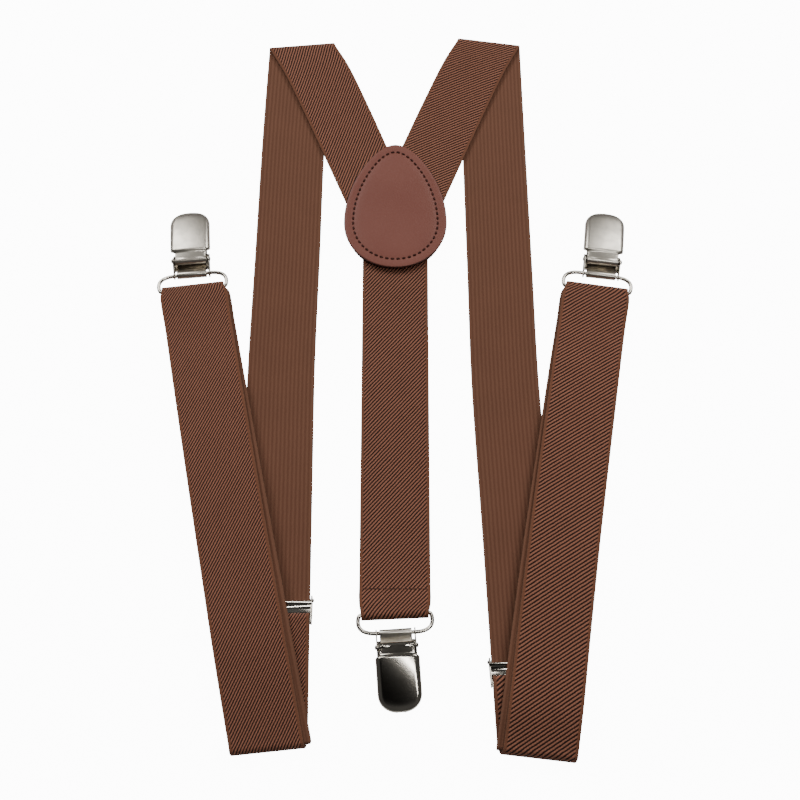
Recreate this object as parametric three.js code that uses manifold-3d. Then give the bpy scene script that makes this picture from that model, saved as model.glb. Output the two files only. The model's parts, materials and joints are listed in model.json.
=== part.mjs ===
// Clip-on Y-back suspenders of 35 mm elastic webbing, folded and laid flat.
// Millimetres, +Z up. The webbing lies in the XY plane, the shoulder folds are at +Y and the
// bottom folds at -Y. The origin is the centre of the outer box, on the surface it lies on.

import * as THREE from "three";
import { mergeVertices } from "three/addons/utils/BufferGeometryUtils.js";
import Module from "manifold-3d";

const wasm = await Module();
wasm.setup();

// ---- driving dimensions -------------------------------------------------------------------

const GAP = 0.3; // room between neighbours that touch on the real object
const DEG = Math.PI / 180;

const WEBBING = { width: 35, thickness: 1.4 };
const LEATHER = { thickness: 1.3, height: 76, halfWidth: 27.8, backInset: 1.2 };

// The wire loop that each strap end turns round, and the clip hangs on.
const WIRE = { radius: 1, halfSpan: 18, rise: 9.2, barHeight: 3, clipBarHeight: 2.4 };

// The clip, measured from the wire bar it hangs on (y) and from the surface it lies on (z).
const CLIP = {
  metal: 0.7,
  bar: WIRE.clipBarHeight,
  pinY: 7.2,
  pinZ: 5.4,
  pinRadius: 0.6,
  headRadius: 1.1,
  earInside: 9,
  tongueHalfWidth: 7.8,
  heelHalfWidth: 8.2,
  coverHalfWidth: 10.6,
  coverFrom: 11.9,
  toeFrom: 29.4,
  coverEnd: 38,
  jawFrom: 27,
  jawTo: 31.6,
};

// The slide adjuster, measured from its pin (y) and from the middle of the webbing it grips (z).
const ADJUSTER = {
  metal: 0.7,
  armInside: 17.9,
  pinZ: -2,
  pinRadius: 0.5,
  plateFrom: -1,
  plateTo: -7,
  barFrom: -9.6,
  barTo: -12.6,
  barThickness: 1,
  leverEnd: -11.5,
};

// Heights of the middle of the webbing, where one layer lies over another.
const HALF = WEBBING.thickness / 2;
const LAYER = WEBBING.thickness + GAP;
const ON_TABLE = HALF + 0.2;
const IN_ADJUSTER = 3.15;
const BACK_STRAP_AT_PATCH = LEATHER.thickness + GAP + HALF;
const DIAGONAL_AT_PATCH = BACK_STRAP_AT_PATCH + LAYER;
const TURN_RADIUS = WIRE.radius + GAP + HALF;
const BAR_TURN_RADIUS = ADJUSTER.barThickness / 2 + GAP + HALF;
const OVER_ADJUSTER = IN_ADJUSTER + HALF + GAP + 2 * (BAR_TURN_RADIUS + HALF) + GAP + HALF;

// Plan places of each side, with x measured outwards from the middle of the suspenders.
const SIDES = {
  left: {
    sign: -1,
    shoulderOuter: [71.9, 196.6],
    shoulderInner: [33.8, 195.2],
    diagonalBow: 1.6,
    diagonalEndOuter: [26.2, 93.5],
    diagonalEndInner: [1.0, 121.5],
    descentTop: [56.6, 140],
    descentKnee: [59.2, 0],
    foldCentre: [58.2, -193.8],
    foldTilt: 5.9,
    foldSlack: 0,
    foldDrift: 1.7,
    frontBow: 0,
    stripOffset: 3.6,
    stripOffsetAtClip: 1.2,
    adjusterY: -124.5,
    bar: [107.4, 43.6],
    barTilt: 7,
    clipTilt: 5,
    clipShift: 0,
  },
  right: {
    sign: 1,
    shoulderOuter: [70.8, 198.2],
    shoulderInner: [34.6, 198.4],
    diagonalBow: 1.4,
    diagonalEndOuter: [25.2, 93.5],
    diagonalEndInner: [1.0, 124.5],
    descentTop: [54.6, 140],
    descentKnee: [57.0, -10],
    foldCentre: [65.4, -196.2],
    foldTilt: 6.6,
    foldSlack: 1.2,
    foldDrift: 2.6,
    frontBow: -1.4,
    stripOffset: 3.2,
    stripOffsetAtClip: 0.8,
    adjusterY: -153.8,
    bar: [106.9, 43.4],
    barTilt: 8.5,
    clipTilt: 7,
    clipShift: 1.4,
  },
};

const BACK = {
  patchTop: 131.2,
  strapTop: 114,
  bendY: 47,
  endY: -131.4,
  seamY: -118,
  barTilt: -2.5,
  clipTilt: -4,
};

// ---- materials ------------------------------------------------------------------------------

const metalOf = (color, roughness) =>
  new THREE.MeshStandardMaterial({ color, roughness, metalness: 1 });
const clothOf = (color, roughness) =>
  new THREE.MeshStandardMaterial({ color, roughness, metalness: 0 });
const MATERIALS = {
  nickel: metalOf(0xcfcac2, 0.18),
  pin: metalOf(0xb7b3ac, 0.3),
  webbing: clothOf(0x6b3f2a, 0.9),
  leather: clothOf(0x743c2e, 0.5),
  pad: clothOf(0xe8e6e0, 0.45),
};

const meshOf = (name, geometry, material) => {
  geometry.computeVertexNormals();
  const mesh = new THREE.Mesh(geometry, material);
  mesh.name = name;
  return mesh;
};

// ---- solids -----------------------------------------------------------------------------------

const point = (x, y, z) => new THREE.Vector3(x, y, z);
const ease = (t) => t * t * (3 - 2 * t);

// A closed sheet: surface(i, j) gives a point of its upper side, i along it and j across it.
function sheetGeometry(surface, alongSteps, acrossSteps, thickness) {
  const geometry = new THREE.BoxGeometry(acrossSteps, alongSteps, 1, acrossSteps, alongSteps, 1);
  const position = geometry.getAttribute("position");
  const step = 0.02;
  for (let k = 0; k < position.count; k++) {
    const i = Math.round(position.getY(k) + alongSteps / 2);
    const j = Math.round(position.getX(k) + acrossSteps / 2);
    const at = surface(i, j);
    if (position.getZ(k) < 0) {
      const along = surface(Math.min(i + step, alongSteps), j);
      along.sub(surface(Math.max(i - step, 0), j));
      const across = surface(i, Math.min(j + step, acrossSteps));
      across.sub(surface(i, Math.max(j - step, 0)));
      at.addScaledVector(across.cross(along).normalize(), -thickness);
    }
    position.setXYZ(k, at.x, at.y, at.z);
  }
  geometry.deleteAttribute("normal");
  geometry.deleteAttribute("uv");
  return mergeVertices(geometry, 1e-4);
}

// One edge of a strap through half a turn round an axis, drifting along the axis as it goes.
class TurnCurve extends THREE.Curve {
  constructor({ pivot, axis, radius, from, sweep, drift = 0, ovality = 1 }) {
    super();
    Object.assign(this, { pivot, axis, radius, from, sweep, drift, ovality });
  }

  getPoint(t, target = new THREE.Vector3()) {
    const arm = this.from.clone().applyAxisAngle(this.axis, this.sweep * t);
    arm.z *= this.ovality;
    const slide = this.drift * (2 * t - t * t);
    return target.copy(this.pivot).addScaledVector(arm, this.radius).addScaledVector(this.axis, slide);
  }
}

// Two edge curves walked together: the rows of a strap, each with its left and its right point.
function rowsAlong(stretches) {
  const rows = [];
  for (const { left, right, steps } of stretches) {
    for (let k = rows.length ? 1 : 0; k <= steps; k++) {
      rows.push({ left: left.getPoint(k / steps), right: right.getPoint(k / steps) });
    }
  }
  return rows;
}

// The strap solid through rows, with the webbing's thickness centred on them.
function strapGeometry(rows) {
  const last = rows.length - 1;
  const geometry = new THREE.BoxGeometry(1, last, 1, 1, last, 1);
  const position = geometry.getAttribute("position");
  const normals = rows.map((row, i) => {
    const before = rows[Math.max(i - 1, 0)];
    const after = rows[Math.min(i + 1, last)];
    const along = after.left.clone().add(after.right).sub(before.left).sub(before.right);
    return row.right.clone().sub(row.left).cross(along).normalize();
  });
  for (let k = 0; k < position.count; k++) {
    const i = Math.round(position.getY(k) + last / 2);
    const edge = position.getX(k) < 0 ? rows[i].left : rows[i].right;
    const at = edge.clone().addScaledVector(normals[i], position.getZ(k) < 0 ? -HALF : HALF);
    position.setXYZ(k, at.x, at.y, at.z);
  }
  geometry.deleteAttribute("normal");
  geometry.deleteAttribute("uv");
  return mergeVertices(geometry, 1e-4);
}

const solidOf = (geometry) => {
  const bare = geometry.clone();
  bare.deleteAttribute("normal");
  bare.deleteAttribute("uv");
  const merged = mergeVertices(bare, 1e-4);
  return new wasm.Manifold(
    new wasm.Mesh({
      numProp: 3,
      vertProperties: new Float32Array(merged.getAttribute("position").array),
      triVerts: new Uint32Array(merged.getIndex().array),
    }),
  );
};

// Joins closed geometries into one.
function joined(...geometries) {
  const all = geometries.map(solidOf).reduce((sum, next) => sum.add(next));
  const mesh = all.getMesh();
  const geometry = new THREE.BufferGeometry();
  geometry.setAttribute("position", new THREE.BufferAttribute(mesh.vertProperties, 3));
  geometry.setIndex(new THREE.BufferAttribute(mesh.triVerts, 1));
  return geometry;
}

const box = (x0, x1, y0, y1, z0, z1) =>
  new THREE.BoxGeometry(x1 - x0, y1 - y0, z1 - z0).translate(
    (x0 + x1) / 2,
    (y0 + y1) / 2,
    (z0 + z1) / 2,
  );

// A profile drawn in (y, z) and carried from x0 to x1.
function profileGeometry(shape, x0, x1) {
  const { isClockWise } = THREE.ShapeUtils;
  const { shape: outline, holes } = shape.extractPoints(10);
  const turned = new THREE.Shape(isClockWise(outline) ? outline.reverse() : outline);
  turned.holes = holes.map((hole) => new THREE.Path(isClockWise(hole) ? hole : hole.reverse()));
  const geometry = new THREE.ExtrudeGeometry(turned, { depth: x1 - x0, bevelEnabled: false });
  return geometry.rotateY(Math.PI / 2).rotateX(Math.PI / 2).translate(x0, 0, 0);
}

const roundHole = (y, z, radius) => new THREE.Path().absarc(y, z, radius, 0, 2 * Math.PI, true);

// A rivet pin along x, with a head at each end.
function pinGeometry(radius, headRadius, headFrom, headTo) {
  const half = [
    [radius, headFrom],
    [headRadius, headFrom],
    [headRadius, headTo],
    [0, headTo],
  ];
  const profile = [
    ...half.map(([r, at]) => new THREE.Vector2(r, -at)).reverse(),
    ...half.map(([r, at]) => new THREE.Vector2(r, at)),
  ];
  return new THREE.LatheGeometry(profile, 12).rotateZ(-Math.PI / 2);
}

// ---- the clip -----------------------------------------------------------------------------------

// The bent wire: a straight bar inside the strap, rounded sides, and the bar the clip hangs on.
// Its two ends meet in the strap's turn.
function wireLoopGeometry() {
  const { halfSpan, rise, radius } = WIRE;
  const [corner, shoulder, barEnd] = [halfSpan - 2, 3.6, 9.5];
  const path = new THREE.CurvePath();
  const line = (a, b) => path.add(new THREE.LineCurve3(point(...a, 0), point(...b, 0)));
  const bend = (a, b, c, d) =>
    path.add(new THREE.CubicBezierCurve3(...[a, b, c, d].map(([x, y]) => point(x, y, 0))));
  line([GAP / 2, 0], [corner, 0]);
  bend([corner, 0], [halfSpan - 0.8, 0], [halfSpan, 0.8], [halfSpan, shoulder]);
  bend([halfSpan, shoulder], [halfSpan, 7.6], [14.4, rise], [barEnd, rise]);
  line([barEnd, rise], [-barEnd, rise]);
  bend([-barEnd, rise], [-14.4, rise], [-halfSpan, 7.6], [-halfSpan, shoulder]);
  bend([-halfSpan, shoulder], [-halfSpan, 0.8], [0.8 - halfSpan, 0], [-corner, 0]);
  line([-corner, 0], [-GAP / 2, 0]);
  const section = new THREE.Shape().absarc(0, 0, radius, 0, 2 * Math.PI);
  return new THREE.ExtrudeGeometry(section, { extrudePath: path, steps: 46, curveSegments: 4 });
}

// The lower plate, its two upright ears that hold the wire and the pin, and the lower jaw.
function clipBaseGeometry() {
  const { metal, bar, pinY, pinZ, pinRadius, earInside, jawFrom, jawTo } = CLIP;
  const bottom = bar - WIRE.radius - 0.35 - metal;
  const ear = new THREE.Shape();
  ear.absarc(0, bar, WIRE.radius + 0.35 + metal, -100 * DEG, 60 * DEG, true);
  ear.absarc(pinY, pinZ, 1.6, 120 * DEG, -20 * DEG, true);
  ear.lineTo(12.5, bottom + metal);
  ear.lineTo(12.5, bottom);
  ear.holes.push(roundHole(0, bar, WIRE.radius + 0.35));
  ear.holes.push(roundHole(pinY, pinZ, pinRadius + 0.1));
  const lip = new THREE.Shape();
  lip.moveTo(jawFrom - 1, bottom);
  lip.lineTo(jawTo + 1, bottom);
  lip.lineTo(jawTo + 1, bottom + 1.7);
  lip.lineTo(jawTo + 0.4, bottom + 1.7);
  lip.lineTo(jawTo + 0.4, bottom + metal);
  lip.lineTo(jawFrom - 1, bottom + metal);
  return joined(
    box(-earInside - metal, earInside + metal, 3.2, 12.5, bottom, bottom + metal),
    box(-8.4, 8.4, 12, jawTo, bottom, bottom + metal),
    profileGeometry(lip, -8.4, 8.4),
    profileGeometry(ear, earInside, earInside + metal),
    profileGeometry(ear, -earInside - metal, -earInside),
  );
}

// The sprung upper plate: curled round the wire, down under the lever's heel and out to the jaw.
function clipTongueGeometry() {
  const { bar, tongueHalfWidth, jawFrom, jawTo } = CLIP;
  const metal = 0.6;
  const inner = WIRE.radius + 0.35;
  const curl = new THREE.Shape();
  curl.absarc(0, bar, inner + metal, -60 * DEG, 62 * DEG, true);
  curl.lineTo(5, 2.2);
  curl.lineTo(9.5, 2.2);
  curl.lineTo(jawFrom - 1, 3.6);
  curl.lineTo(jawTo + 0.6, 3.6);
  curl.lineTo(jawTo + 0.6, 3);
  curl.lineTo(jawFrom - 1, 3);
  curl.lineTo(9.5, 1.6);
  curl.lineTo(4.8, 1.6);
  curl.absarc(0, bar, inner, 50 * DEG, -60 * DEG, false);
  return profileGeometry(curl, -tongueHalfWidth, tongueHalfWidth);
}

// The lever: a curled heel that works as a cam on the tongue, and the long cover over the jaws.
const HEEL_STEPS = 9;
const COVER_STEPS = 14;
const TOE_STEPS = 6;

// Its middle line, i along it, as a point (y, z) with the half width and how far the sides turn down.
function leverLine(i) {
  const { pinY, pinZ, heelHalfWidth, coverHalfWidth, coverFrom, toeFrom, coverEnd } = CLIP;
  const [heelTop, toeTop, toeSlope, sides, bulge] = [pinZ + 3.4, pinZ + 0.2, 0.25, 2.4, 0.8];
  if (i <= HEEL_STEPS) {
    const t = i / HEEL_STEPS;
    const angle = (272 - 182 * t) * DEG;
    const radius = t < 0.5 ? 2.86 - 1.2 * t : 2.26 + (1.14 - bulge) * ease(2 * t - 1);
    return {
      y: pinY + radius * Math.cos(angle),
      z: pinZ + radius * Math.sin(angle),
      halfWidth: heelHalfWidth,
      skirt: 0,
    };
  }
  if (i <= HEEL_STEPS + COVER_STEPS) {
    const t = (i - HEEL_STEPS) / COVER_STEPS;
    const fall = toeTop - heelTop;
    const run = toeSlope * (pinY - toeFrom);
    const y = pinY + (toeFrom - pinY) * t;
    const broad = ease(Math.min(1, Math.max(0, (y - coverFrom) / 1.8)));
    return {
      y,
      z: heelTop + (2 * fall - run) * t + (run - fall) * t * t - bulge * (1 - broad),
      halfWidth: heelHalfWidth + (coverHalfWidth - heelHalfWidth) * broad,
      skirt: 0.2 + (sides - 0.2) * broad,
    };
  }
  const t = (i - HEEL_STEPS - COVER_STEPS) / TOE_STEPS;
  const out = (coverEnd - toeFrom) * Math.sin((t * Math.PI) / 2);
  return {
    y: toeFrom + out,
    z: toeTop - toeSlope * out - 1.85 * t ** 3,
    halfWidth: Math.max(2.4, coverHalfWidth * Math.cos((t * Math.PI) / 2) ** 0.8),
    skirt: sides * (1 - t) + 0.3 * t,
  };
}

function clipLeverGeometry() {
  const { pinY, pinZ, pinRadius, heelHalfWidth } = CLIP;
  const [across, steps] = [8, HEEL_STEPS + COVER_STEPS + TOE_STEPS];
  const cover = sheetGeometry(
    (i, j) => {
      const line = leverLine(i);
      const side = (2 * j) / across - 1;
      const edge = Math.max(0, Math.abs(side) - 0.75) / 0.25;
      const x = line.halfWidth * (0.96 * Math.max(-1, Math.min(1, side / 0.82)) + 0.04 * side);
      const drop = 0.4 * side * side + line.skirt * edge;
      return point(x, line.y, line.z - (line.skirt ? drop : 0));
    },
    steps,
    across,
    CLIP.metal,
  );
  const ear = new THREE.Shape();
  ear.absarc(pinY, pinZ, 1.7, 200 * DEG, -60 * DEG, false);
  ear.lineTo(11.5, 7.1);
  ear.lineTo(9.8, 7.7);
  ear.lineTo(6.6, 7.7);
  ear.holes.push(roundHole(pinY, pinZ, pinRadius + 0.1));
  return joined(
    cover,
    profileGeometry(ear, heelHalfWidth - 0.75, heelHalfWidth - 0.05),
    profileGeometry(ear, 0.05 - heelHalfWidth, 0.75 - heelHalfWidth),
  );
}

// Everything of one clip, from the wire outwards along +y.
function clipMeshes(name) {
  const { pinY, pinZ, jawFrom, jawTo, pinRadius, headRadius, earInside, metal } = CLIP;
  const pin = pinGeometry(pinRadius, headRadius, earInside + metal + 0.15, earInside + metal + 0.6);
  const lowerPad = box(-7.6, 7.6, jawFrom, jawTo, 1.35, 1.95);
  const upperPad = box(-7.6, 7.6, jawFrom, jawTo, 2.15, 2.75);
  return [
    meshOf(`${name}_clip_base`, clipBaseGeometry(), MATERIALS.nickel),
    meshOf(`${name}_clip_tongue`, clipTongueGeometry(), MATERIALS.nickel),
    meshOf(`${name}_clip_lever`, clipLeverGeometry(), MATERIALS.nickel),
    meshOf(`${name}_clip_pin`, pin.translate(0, pinY, pinZ), MATERIALS.pin),
    meshOf(`${name}_clip_lower_pad`, lowerPad, MATERIALS.pad),
    meshOf(`${name}_clip_upper_pad`, upperPad, MATERIALS.pad),
  ];
}

// A wire loop with its clip, the loop's lower bar at (x, y) and both pointing along +y.
function clipOnLoop(name, { x, y, barTilt, clipTilt, clipShift = 0 }) {
  const loop = new THREE.Group();
  loop.position.set(x, y, WIRE.barHeight);
  loop.rotation.order = "ZYX";
  loop.rotation.z = -barTilt * DEG;
  loop.rotation.x = -Math.asin((WIRE.barHeight - WIRE.clipBarHeight) / WIRE.rise);
  loop.add(meshOf(`${name}_wire_loop`, wireLoopGeometry(), MATERIALS.nickel));
  const clip = new THREE.Group();
  const bar = loop.localToWorld(point(clipShift, WIRE.rise, 0));
  clip.position.set(bar.x, bar.y, 0);
  clip.rotation.z = -clipTilt * DEG;
  clip.add(...clipMeshes(name));
  return [loop, clip];
}

// ---- the slide adjuster ---------------------------------------------------------------------------

// Back plate, side arms, and the flat bar that the strap's end is sewn round.
function adjusterFrameGeometry() {
  const { metal, armInside, pinZ, pinRadius, plateFrom, plateTo } = ADJUSTER;
  const { barFrom, barTo, barThickness } = ADJUSTER;
  const barZ = HALF + GAP + HALF + BAR_TURN_RADIUS;
  const plateZ = HALF + GAP;
  const arm = new THREE.Shape();
  arm.absarc(0, pinZ, 0.95, -170 * DEG, -20 * DEG, false);
  arm.lineTo(1.5, plateZ + metal);
  arm.lineTo(plateTo, plateZ + metal + 0.4);
  arm.lineTo(barFrom, barZ + 1);
  arm.lineTo(barTo - 0.4, barZ + 1);
  arm.lineTo(barTo - 0.4, barZ - 1);
  arm.lineTo(plateTo, pinZ + 1.2);
  arm.holes.push(roundHole(0, pinZ, pinRadius + 0.1));
  const outside = armInside + metal;
  const plate = new THREE.Shape();
  plate.moveTo(plateTo, plateZ);
  plate.lineTo(plateFrom, plateZ);
  plate.lineTo(plateFrom, plateZ + metal + 0.5);
  plate.lineTo(plateFrom - 1.6, plateZ + metal + 0.5);
  plate.lineTo(plateFrom - 2, plateZ + metal);
  plate.lineTo(plateTo + 0.8, plateZ + metal);
  plate.lineTo(plateTo + 0.6, plateZ + metal + 0.3);
  plate.lineTo(plateTo, plateZ + metal + 0.3);
  return joined(
    profileGeometry(plate, -outside, outside),
    box(-outside, outside, barTo, barFrom, barZ - barThickness / 2, barZ + barThickness / 2),
    profileGeometry(arm, armInside, outside),
    profileGeometry(arm, -outside, -armInside),
  );
}

// The toothed lever on the face side of the strap, curled round its pin.
function adjusterLeverGeometry() {
  const { armInside, pinZ, pinRadius, leverEnd } = ADJUSTER;
  const plate = new THREE.Shape();
  plate.absarc(0, pinZ, 1, -90 * DEG, 150 * DEG, false);
  plate.lineTo(-1.6, pinZ + 0.9);
  plate.lineTo(-1.8, pinZ - 0.4);
  plate.lineTo(leverEnd, pinZ - 0.4);
  plate.lineTo(leverEnd, pinZ - 0.98);
  plate.holes.push(roundHole(0, pinZ, pinRadius + 0.1));
  return profileGeometry(plate, 0.3 - armInside, armInside - 0.3);
}

function adjusterMeshes(name) {
  const { armInside, metal, pinZ, pinRadius } = ADJUSTER;
  const head = armInside + metal;
  const pin = pinGeometry(pinRadius, 0.9, head + 0.15, head + 0.55).translate(0, 0, pinZ);
  return [
    meshOf(`${name}_adjuster_frame`, adjusterFrameGeometry(), MATERIALS.nickel),
    meshOf(`${name}_adjuster_lever`, adjusterLeverGeometry(), MATERIALS.nickel),
    meshOf(`${name}_adjuster_pin`, pin, MATERIALS.pin),
  ];
}

// ---- the webbing ------------------------------------------------------------------------------------

// The edge points of a strap whose middle is at (x, y, z), its width turned by tilt degrees.
function edgesAt([x, y], z, tilt = 0, width = WEBBING.width) {
  const half = width / 2;
  const [dx, dy] = [half * Math.cos(tilt * DEG), half * Math.sin(tilt * DEG)];
  return { outer: point(x + dx, y - dy, z), inner: point(x - dx, y + dy, z) };
}

const smooth = (points) => new THREE.CatmullRomCurve3(points, false, "centripetal");

// A stretch through stations with the inner edge on the left.
const innerLeft = (stations, steps) => ({
  left: smooth(stations.map((s) => s.inner)),
  right: smooth(stations.map((s) => s.outer)),
  steps,
});

// A stretch through stations with the outer edge on the left.
const outerLeft = (stations, steps) => ({
  left: smooth(stations.map((s) => s.outer)),
  right: smooth(stations.map((s) => s.inner)),
  steps,
});

const between = ([x0, y0], [x1, y1], t) => [x0 + (x1 - x0) * t, y0 + (y1 - y0) * t];

// Where the straight run of the strap through the adjuster is, t from its knee to the bottom fold.
const runPoint = (side, t) => between(side.descentKnee, side.foldCentre, t);
const runTilt = ({ descentKnee: [x0, y0], foldCentre: [x1, y1] }) =>
  Math.atan2(x0 - x1, y0 - y1) / DEG;
const runAt = (side, y) => (y - side.descentKnee[1]) / (side.foldCentre[1] - side.descentKnee[1]);

// Heights of the layers at the bottom fold, from the table up.
function foldLayers(side) {
  const lowest = 0.2 + HALF;
  const innerRadius = (GAP + side.foldSlack) / 2 + HALF;
  const outerRadius = innerRadius + LAYER;
  const pivot = lowest + outerRadius;
  return { lowest, innerRadius, outerRadius, pivot };
}

// The strap from under the patch, over the shoulder fold and down through the adjuster.
function shoulderStrapGeometry(side) {
  const [outerRadius, innerRadius] = [0.85, 3.3];
  const outerPivot = point(...side.shoulderOuter, ON_TABLE + outerRadius);
  const innerPivot = point(...side.shoulderInner, ON_TABLE + innerRadius);
  const axis = outerPivot.clone().sub(innerPivot).normalize();
  const up = point(0, 0, 1);
  const turn = (pivot, radius) =>
    new TurnCurve({ pivot, axis, radius, from: up, sweep: -Math.PI, drift: 0.67 * radius });
  const outerTop = outerPivot.clone().addScaledVector(up, outerRadius);
  const innerTop = innerPivot.clone().addScaledVector(up, innerRadius);
  const endOuter = point(...side.diagonalEndOuter, DIAGONAL_AT_PATCH);
  const endInner = point(...side.diagonalEndInner, DIAGONAL_AT_PATCH);
  const bowed = (from, to, height) =>
    smooth([
      from,
      from.clone().lerp(to, 0.5).add(point(-side.diagonalBow, 0, height)),
      to.clone().lerp(from, 0.16).add(point(-side.diagonalBow, 0, 0)),
      to,
    ]);
  const [outerTurn, innerTurn] = [turn(outerPivot, outerRadius), turn(innerPivot, innerRadius)];
  const knee = runPoint(side, 0);
  const adjusterTop = runPoint(side, runAt(side, side.adjusterY + 68));
  const adjusterLow = runPoint(side, runAt(side, side.adjusterY - 22));
  const fold = foldLayers(side);
  const tilt = runTilt(side);
  const foldEnd = runPoint(side, runAt(side, side.foldCentre[1] + GAP));
  return strapGeometry(
    rowsAlong([
      { left: bowed(endInner, innerTop, -0.4), right: bowed(endOuter, outerTop, -0.6), steps: 12 },
      { left: innerTurn, right: outerTurn, steps: 9 },
      {
        left: smooth([
          innerTurn.getPoint(1),
          edgesAt(side.descentTop, ON_TABLE, -1).inner,
          edgesAt(between(side.descentTop, knee, 0.55), ON_TABLE, -1).inner,
          edgesAt(knee, ON_TABLE + 0.2, tilt).inner,
          edgesAt(adjusterTop, IN_ADJUSTER, tilt).inner,
        ]),
        right: smooth([
          outerTurn.getPoint(1),
          edgesAt(side.descentTop, ON_TABLE, -1).outer,
          edgesAt(between(side.descentTop, knee, 0.55), ON_TABLE, -1).outer,
          edgesAt(knee, ON_TABLE + 0.2, tilt).outer,
          edgesAt(adjusterTop, IN_ADJUSTER, tilt).outer,
        ]),
        steps: 18,
      },
      {
        left: smooth([adjusterTop, adjusterLow].map((p) => edgesAt(p, IN_ADJUSTER, tilt).inner)),
        right: smooth([adjusterTop, adjusterLow].map((p) => edgesAt(p, IN_ADJUSTER, tilt).outer)),
        steps: 2,
      },
      {
        left: smooth([
          edgesAt(adjusterLow, IN_ADJUSTER, tilt).inner,
          edgesAt(foldEnd, fold.lowest, side.foldTilt).inner,
        ]),
        right: smooth([
          edgesAt(adjusterLow, IN_ADJUSTER, tilt).outer,
          edgesAt(foldEnd, fold.lowest, side.foldTilt).outer,
        ]),
        steps: 4,
      },
    ]),
  );
}

// Half a turn at the bottom fold, from the lower layer to the upper one.
function bottomTurnGeometry(side, radius, pivotZ, drift) {
  const { outer, inner } = edgesAt(side.foldCentre, pivotZ, side.foldTilt);
  const axis = outer.clone().sub(inner).normalize();
  const down = point(0, 0, -1);
  const turn = (pivot) =>
    new TurnCurve({ pivot, axis, radius, from: down, sweep: -Math.PI, drift });
  return strapGeometry(rowsAlong([{ left: turn(outer), right: turn(inner), steps: 9 }]));
}

const shifted = ([x, y], offset) => [x + offset, y];

// Where a layer leaves the bottom fold, having drifted outwards along it.
const frontFold = ({ foldCentre: [x, y], foldTilt }, drift) => [
  x + drift * Math.cos(foldTilt * DEG),
  y - drift * Math.sin(foldTilt * DEG),
];

// Stations of a front strap layer from just above the bottom fold to just below the wire.
function frontStations(side, { lift, foldZ, clipZ, offset, offsetAtClip }) {
  const start = frontFold(side, side.foldDrift - offset);
  const end = shifted(side.bar, -offsetAtClip);
  const heading = Math.atan2(end[0] - start[0], end[1] - start[1]) / DEG;
  const at = (t, z, tilt = heading) =>
    edgesAt(shifted(between(start, end, t), side.frontBow * Math.sin(Math.PI * t)), z, tilt);
  const span = end[1] - start[1];
  const along = (y) => (y - start[1]) / span;
  return [
    at(GAP / span, foldZ, side.foldTilt),
    at(along(side.adjusterY - 24), OVER_ADJUSTER + lift, heading - 1.5),
    at(along(side.adjusterY + 14), OVER_ADJUSTER + lift),
    at(along(side.adjusterY + 60), OVER_ADJUSTER + lift - 0.6),
    at(along(-10), 0.5 * (OVER_ADJUSTER - clipZ) + clipZ * 0.75 + lift, heading),
    at(along(22), clipZ + (lift ? 0 : 0.4), heading),
    at(1 - 3 / span, clipZ, 0.5 * (heading + side.barTilt)),
    at(1 - GAP / span, clipZ, side.barTilt),
  ].map((station, i, all) => (i === all.length - 1 ? narrowed(station) : station));
}

// The webbing draws in a little where it rounds the wire.
function narrowed({ outer, inner }) {
  const middle = outer.clone().lerp(inner, 0.5);
  const share = (WIRE.halfSpan - WIRE.radius - 2 * GAP) / (WEBBING.width / 2);
  return { outer: outer.clone().lerp(middle, 1 - share), inner: inner.clone().lerp(middle, 1 - share) };
}

// The turn of the strap round the wire loop's lower bar.
function wireTurnGeometry(side) {
  const { outer, inner } = narrowed(edgesAt(side.bar, WIRE.barHeight, side.barTilt));
  const axis = outer.clone().sub(inner).normalize();
  const turn = (pivot) =>
    new TurnCurve({ pivot, axis, radius: TURN_RADIUS, from: point(0, 0, 1), sweep: -Math.PI });
  return strapGeometry(rowsAlong([{ left: turn(inner), right: turn(outer), steps: 9 }]));
}

// The return layer: up from the bottom fold, round the adjuster's bar, its end sewn back on itself.
function returnStrapGeometry(side) {
  const fold = foldLayers(side);
  const tilt = runTilt(side);
  const barY = side.adjusterY + (ADJUSTER.barFrom + ADJUSTER.barTo) / 2;
  const barZ = IN_ADJUSTER + 2 * HALF + GAP + BAR_TURN_RADIUS;
  const at = (y, z, turned = tilt) => edgesAt(runPoint(side, runAt(side, y)), z, turned);
  const foldY = side.foldCentre[1];
  const start = at(foldY + GAP, fold.pivot - fold.innerRadius, side.foldTilt);
  const pivotFar = at(barY + 1.5, barZ);
  const axis = pivotFar.outer.clone().sub(pivotFar.inner).normalize();
  const half = BAR_TURN_RADIUS;
  const turn = (pivot) =>
    new TurnCurve({ pivot, axis, radius: half, from: point(0, 0, 1), sweep: -Math.PI });
  return strapGeometry(
    rowsAlong([
      innerLeft(
        [
          start,
          at(foldY + 0.45 * (barY - foldY), barZ - half - 0.1),
          at(barY - 4, barZ + half - 0.2),
          at(barY + 1.5, barZ + half),
        ],
        8,
      ),
      { left: turn(pivotFar.inner), right: turn(pivotFar.outer), steps: 6 },
      innerLeft([at(barY + 1.5, barZ - half), at(barY - 1.9, barZ - half)], 1),
    ]),
  );
}

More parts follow.
